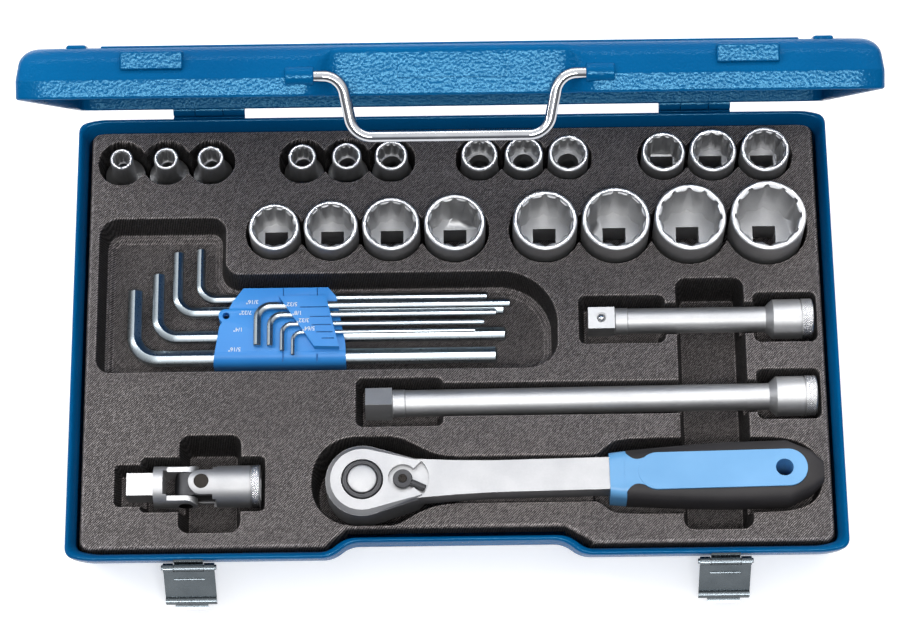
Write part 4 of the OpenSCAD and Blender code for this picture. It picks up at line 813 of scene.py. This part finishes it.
def size_mark(name, words, x, y, z, height):
    """A size printed on the key holder, read from the back of the case, as thin as its ink."""
    curve = bpy.data.curves.new(name, "FONT")
    curve.body = words
    curve.size = height * MM
    curve.align_x = "CENTER"
    curve.align_y = "CENTER"
    curve.extrude = 0.00002
    curve.offset = 0.00007
    draft = show(name + "_draft", curve)
    bpy.context.view_layer.update()
    mesh = bpy.data.meshes.new_from_object(draft.evaluated_get(bpy.context.evaluated_depsgraph_get()))
    bpy.data.objects.remove(draft)
    mesh.transform(Matrix.Translation(Vector((x, y, z)) * MM) @ Matrix.Rotation(math.pi, 4, "Z"))
    mesh.name = name
    mesh.materials.clear()
    mesh.materials.append(INK)
    piece = show(name, mesh)
    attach(piece, "key_holder")


def turned(name, profile, centre, material, body, steps=56):
    """A piece turned about an upright axis from (radius, height) points in millimetres."""
    shape = bmesh.new()
    points = [shape.verts.new(Vector((r, 0, z)) * MM) for r, z in profile]
    edges = [shape.edges.new(pair) for pair in zip(points, points[1:])]
    bmesh.ops.spin(shape, geom=points + edges, cent=(0, 0, 0), axis=(0, 0, 1), angle=2 * math.pi, steps=steps,
                   use_merge=True)
    bmesh.ops.remove_doubles(shape, verts=shape.verts, dist=0.0000005)
    bmesh.ops.recalc_face_normals(shape, faces=shape.faces)
    bmesh.ops.translate(shape, verts=shape.verts, vec=Vector(centre) * MM)
    mesh_piece(name, shape, material, body)


def bar(shape, x0, y0, x1, y1, z, width, height, bevel):
    """Adds a low bar with eased edges between two places, in millimetres."""
    run = Vector((x1 - x0, y1 - y0, 0))
    made = bmesh.ops.create_cube(shape, size=1)["verts"]
    bmesh.ops.scale(shape, verts=made, vec=Vector((run.length, width, height)) * MM)
    grown = round_edges(shape, list({e for v in made for e in v.link_edges}), bevel, 2)
    made = list({v for f in grown["faces"] for v in f.verts} | {v for v in made if v.is_valid})
    heading = Matrix.Rotation(math.atan2(run.y, run.x), 3, "Z")
    bmesh.ops.rotate(shape, verts=made, cent=(0, 0, 0), matrix=heading)
    bmesh.ops.translate(shape, verts=made, vec=Vector(((x0 + x1) / 2, (y0 + y1) / 2, z)) * MM)


# the ratchet lies a little askew in its pocket
RATCHET_PLACE, RATCHET_TURN, GRIP_LEVEL = (-51, -88, 0), 0.9, 33.6

# lever: its screw and the two ridges on its arm
LEVER_X, LEVER_Y, LEVER_TURN = -29.0, -87.65, math.radians(-26 + RATCHET_TURN)
SCREW_PROFILE = [(0, 0.1), (1.15, 0.1), (1.25, 0.45), (2.2, 0.45), (2.45, 0.2), (2.45, -0.4), (0, -0.4)]
turned("lever_screw", SCREW_PROFILE, (LEVER_X, LEVER_Y, 45.0), BLACK, "ratchet_lever")
shape = bmesh.new()
c, sn = math.cos(LEVER_TURN), math.sin(LEVER_TURN)
for side in (-1.05, 1.05):
    bar(shape, LEVER_X + 6.2 * c - side * sn, LEVER_Y + 6.2 * sn + side * c,
        LEVER_X + 12.6 * c - side * sn, LEVER_Y + 12.6 * sn + side * c, 45.05, 0.8, 0.8, 0.25)
mesh_piece("lever_ridges", shape, DARK, "ratchet_lever")


def handle_waist():
    """The handle's blue waist, which runs over the rubber from the collar to the inset."""
    shape = bmesh.new()
    bmesh.ops.create_grid(shape, x_segments=26, y_segments=18, size=0.5)
    for point in shape.verts:
        along, across = point.co.x + 0.5, point.co.y * 2
        # narrowest at 0.38 of its length
        half = 7.0 + 5.2 * max(0.38 - along, 0) ** 2 / 0.144 + 3.2 * ease(along, 0.38, 1.0)
        x, y = 142.6 + 18.2 * along, half * across
        crown = 12.3 * (1 - (y / (14.1 + 1.6 * along)) ** 4) ** 0.25
        point.co = Vector((x, y, GRIP_LEVEL + crown + 0.22)) * MM
    grown = bmesh.ops.extrude_face_region(shape, geom=list(shape.faces))
    under = [v for v in grown["geom"] if isinstance(v, bmesh.types.BMVert)]
    bmesh.ops.translate(shape, verts=under, vec=(0, 0, -1.2 * MM))
    bmesh.ops.recalc_face_normals(shape, faces=shape.faces)
    askew = Matrix.Rotation(math.radians(RATCHET_TURN), 3, "Z")
    bmesh.ops.rotate(shape, verts=shape.verts, cent=(0, 0, 0), matrix=askew)
    bmesh.ops.translate(shape, verts=shape.verts, vec=Vector(RATCHET_PLACE) * MM)
    mesh_piece("handle_waist", shape, CORE, body_of("ratchet_handle_core"), smooth=50)


handle_waist()

# knurled rings on the barrels
knurled_band("short_extension_knurl", 193.3, 199.4, 8.0, 30.0, 11.2, "extension_short")
knurled_band("long_extension_knurl", 193.1, 199.2, -37.47, 30.0, 11.2, "extension_long")
knurled_band("joint_knurl", -111.9, -107.3, -86.2, 30.0, 11.7, "universal_socket_fork")

# holder: finger grooves across its top, and the seams of its moulding, as thin strips of painted shadow
HOLDER_LOW, HOLDER_HIGH = 28.7, 34.0
shape = bmesh.new()
for x0, x1, y in [(-86, -70.5, 17.6), (-80.5, -69.3, 11.8), (-79.5, -68.5, 6.9), (-76.9, -67.8, 2.6),
                  (-73.9, -67, -1.2)]:
    bar(shape, x0, y, x1, y, HOLDER_HIGH, 0.7, 0.12, 0.05)
for x, y0, y1 in [(-95.6, -12.9, -6.2), (-76.6, -12.9, -8.4), (-95.6, 26.5, 31.2), (-76.6, 26.5, 31.2)]:
    bar(shape, x, y0, x, y1, HOLDER_LOW, 0.6, 0.12, 0.05)
mesh_piece("key_holder_grooves", shape, GROOVE_SHADOW, "key_holder")

# key sizes in inches, the large ones on the low part of the holder
MARK_LIFT, MARK_HEIGHT = 0.04, 3.3
for count, (size, x, y, top) in enumerate([
        ("3/16", -113.1, 23.2, HOLDER_LOW), ("7/32", -116.8, 16.8, HOLDER_LOW),
        ("1/4", -120.8, 6.7, HOLDER_LOW), ("5/16", -122.7, -5.1, HOLDER_LOW),
        ("5/32", -91.0, 19.4, HOLDER_HIGH), ("1/8", -87.6, 14.2, HOLDER_HIGH),
        ("3/32", -84.3, 9.7, HOLDER_HIGH), ("5/64", -81.1, 4.8, HOLDER_HIGH)]):
    size_mark("key_size_mark_%d" % (count + 1), size + '"', x, y, top + MARK_LIFT, MARK_HEIGHT)

# ---------- floor and light ----------

low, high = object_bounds()
shape = bmesh.new()
bmesh.ops.create_grid(shape, x_segments=1, y_segments=1, size=6.0)
bmesh.ops.translate(shape, verts=shape.verts, vec=(0, 0, low.z - 0.2 * MM))
floor_mesh = bpy.data.meshes.new("floor")
shape.to_mesh(floor_mesh)
shape.free()
floor_mesh.materials.append(white_floor())
floor = show("floor", floor_mesh)

TENT_LEAN = 22.0
TENT_STRENGTH = 1.25
TENT_STOPS = [(0.0, "#5A5C60"), (0.35, "#8E9094"), (0.7, "#F4F5F7"), (1.0, "#FFFFFF")]


def studio_tent():
    """A white tent: bright overhead and behind, greyer towards its foot and towards the camera."""
    world = bpy.data.worlds.new("studio")
    world.use_nodes = True
    tree = world.node_tree
    tree.nodes.clear()
    way = put(tree, "ShaderNodeTexCoord").outputs["Generated"]
    leaning = put(tree, "ShaderNodeMapping", {"Vector": way, "Rotation": (math.radians(TENT_LEAN), 0, 0)})
    height = put(tree, "ShaderNodeSeparateXYZ", {"Vector": leaning.outputs[0]}).outputs["Z"]
    tone = put(tree, "ShaderNodeValToRGB", {"Fac": height})
    stops(tone, TENT_STOPS)
    light = put(tree, "ShaderNodeBackground", {"Color": tone.outputs[0], "Strength": TENT_STRENGTH})
    put(tree, "ShaderNodeOutputWorld", {"Surface": light.outputs[0]})
    bpy.context.scene.world = world


def pieces_in(name, finishes):
    """A collection of the shown pieces whose first finish is one of these."""
    group = bpy.data.collections.new(name)
    for thing in list(bpy.context.scene.objects):
        if thing.type == "MESH" and not thing.hide_render and thing.data.materials:
            if thing.data.materials[0] in finishes:
                group.objects.link(thing)
    return group


studio_tent()
softbox("strip_behind", (0.0, 0.9, 1.0), (0, 0, 0), 1.6, 0.08, 7)
softbox("front_softbox", (0.1, -0.75, 1.45), (0, 0.1, 0.1), 0.5, 0.2, 7)
softbox("strip_left", (-1.0, 0.1, 0.9), (0, 0, 0), 0.08, 1.2, 4)

# the tools' own softbox: the open lid neither takes its light nor stands in its way
TOOL_FINISHES = {SATIN, MOUTH_CHROME_AND_HIGHLIGHT, BRIGHT, MATT, BLACK, DARK, HOLDER, CORE}
tool_light = softbox("tool_softbox", (0.05, 0.55, 1.35), (0, 0, 0.03), 1.9, 0.9, 12)
tool_light.data.cycles.use_multiple_importance_sampling = False
tool_light.light_linking.receiver_collection = pieces_in("tools", TOOL_FINISHES)
tool_light.light_linking.blocker_collection = pieces_in("screens", TOOL_FINISHES | {INSERT, GRIP, KEYS})

# three that light one finish each: the sheen of the enamel, the upper flats of the keys, the latches
paint_light = softbox("enamel_softbox", (0.0, -0.86, 2.02), (0, 0.02, 0.2), 1.5, 0.26, 155)
paint_light.visible_diffuse = False
paint_light.light_linking.receiver_collection = pieces_in("painted", {PAINT})
key_light = softbox("key_softbox", (0.0, -1.05, 1.35), (-0.08, 0, 0.03), 1.0, 0.4, 2.3)
key_light.light_linking.receiver_collection = pieces_in("keys", {KEYS})
latch_light = softbox("latch_softbox", (0.0, -1.5, 0.8), (0, -0.1, 0.03), 1.8, 0.4, 60)
latch_light.light_linking.receiver_collection = pieces_in("zinc", {ZINC})

bpy.context.scene.view_settings.view_transform = "Standard"
stand_camera()
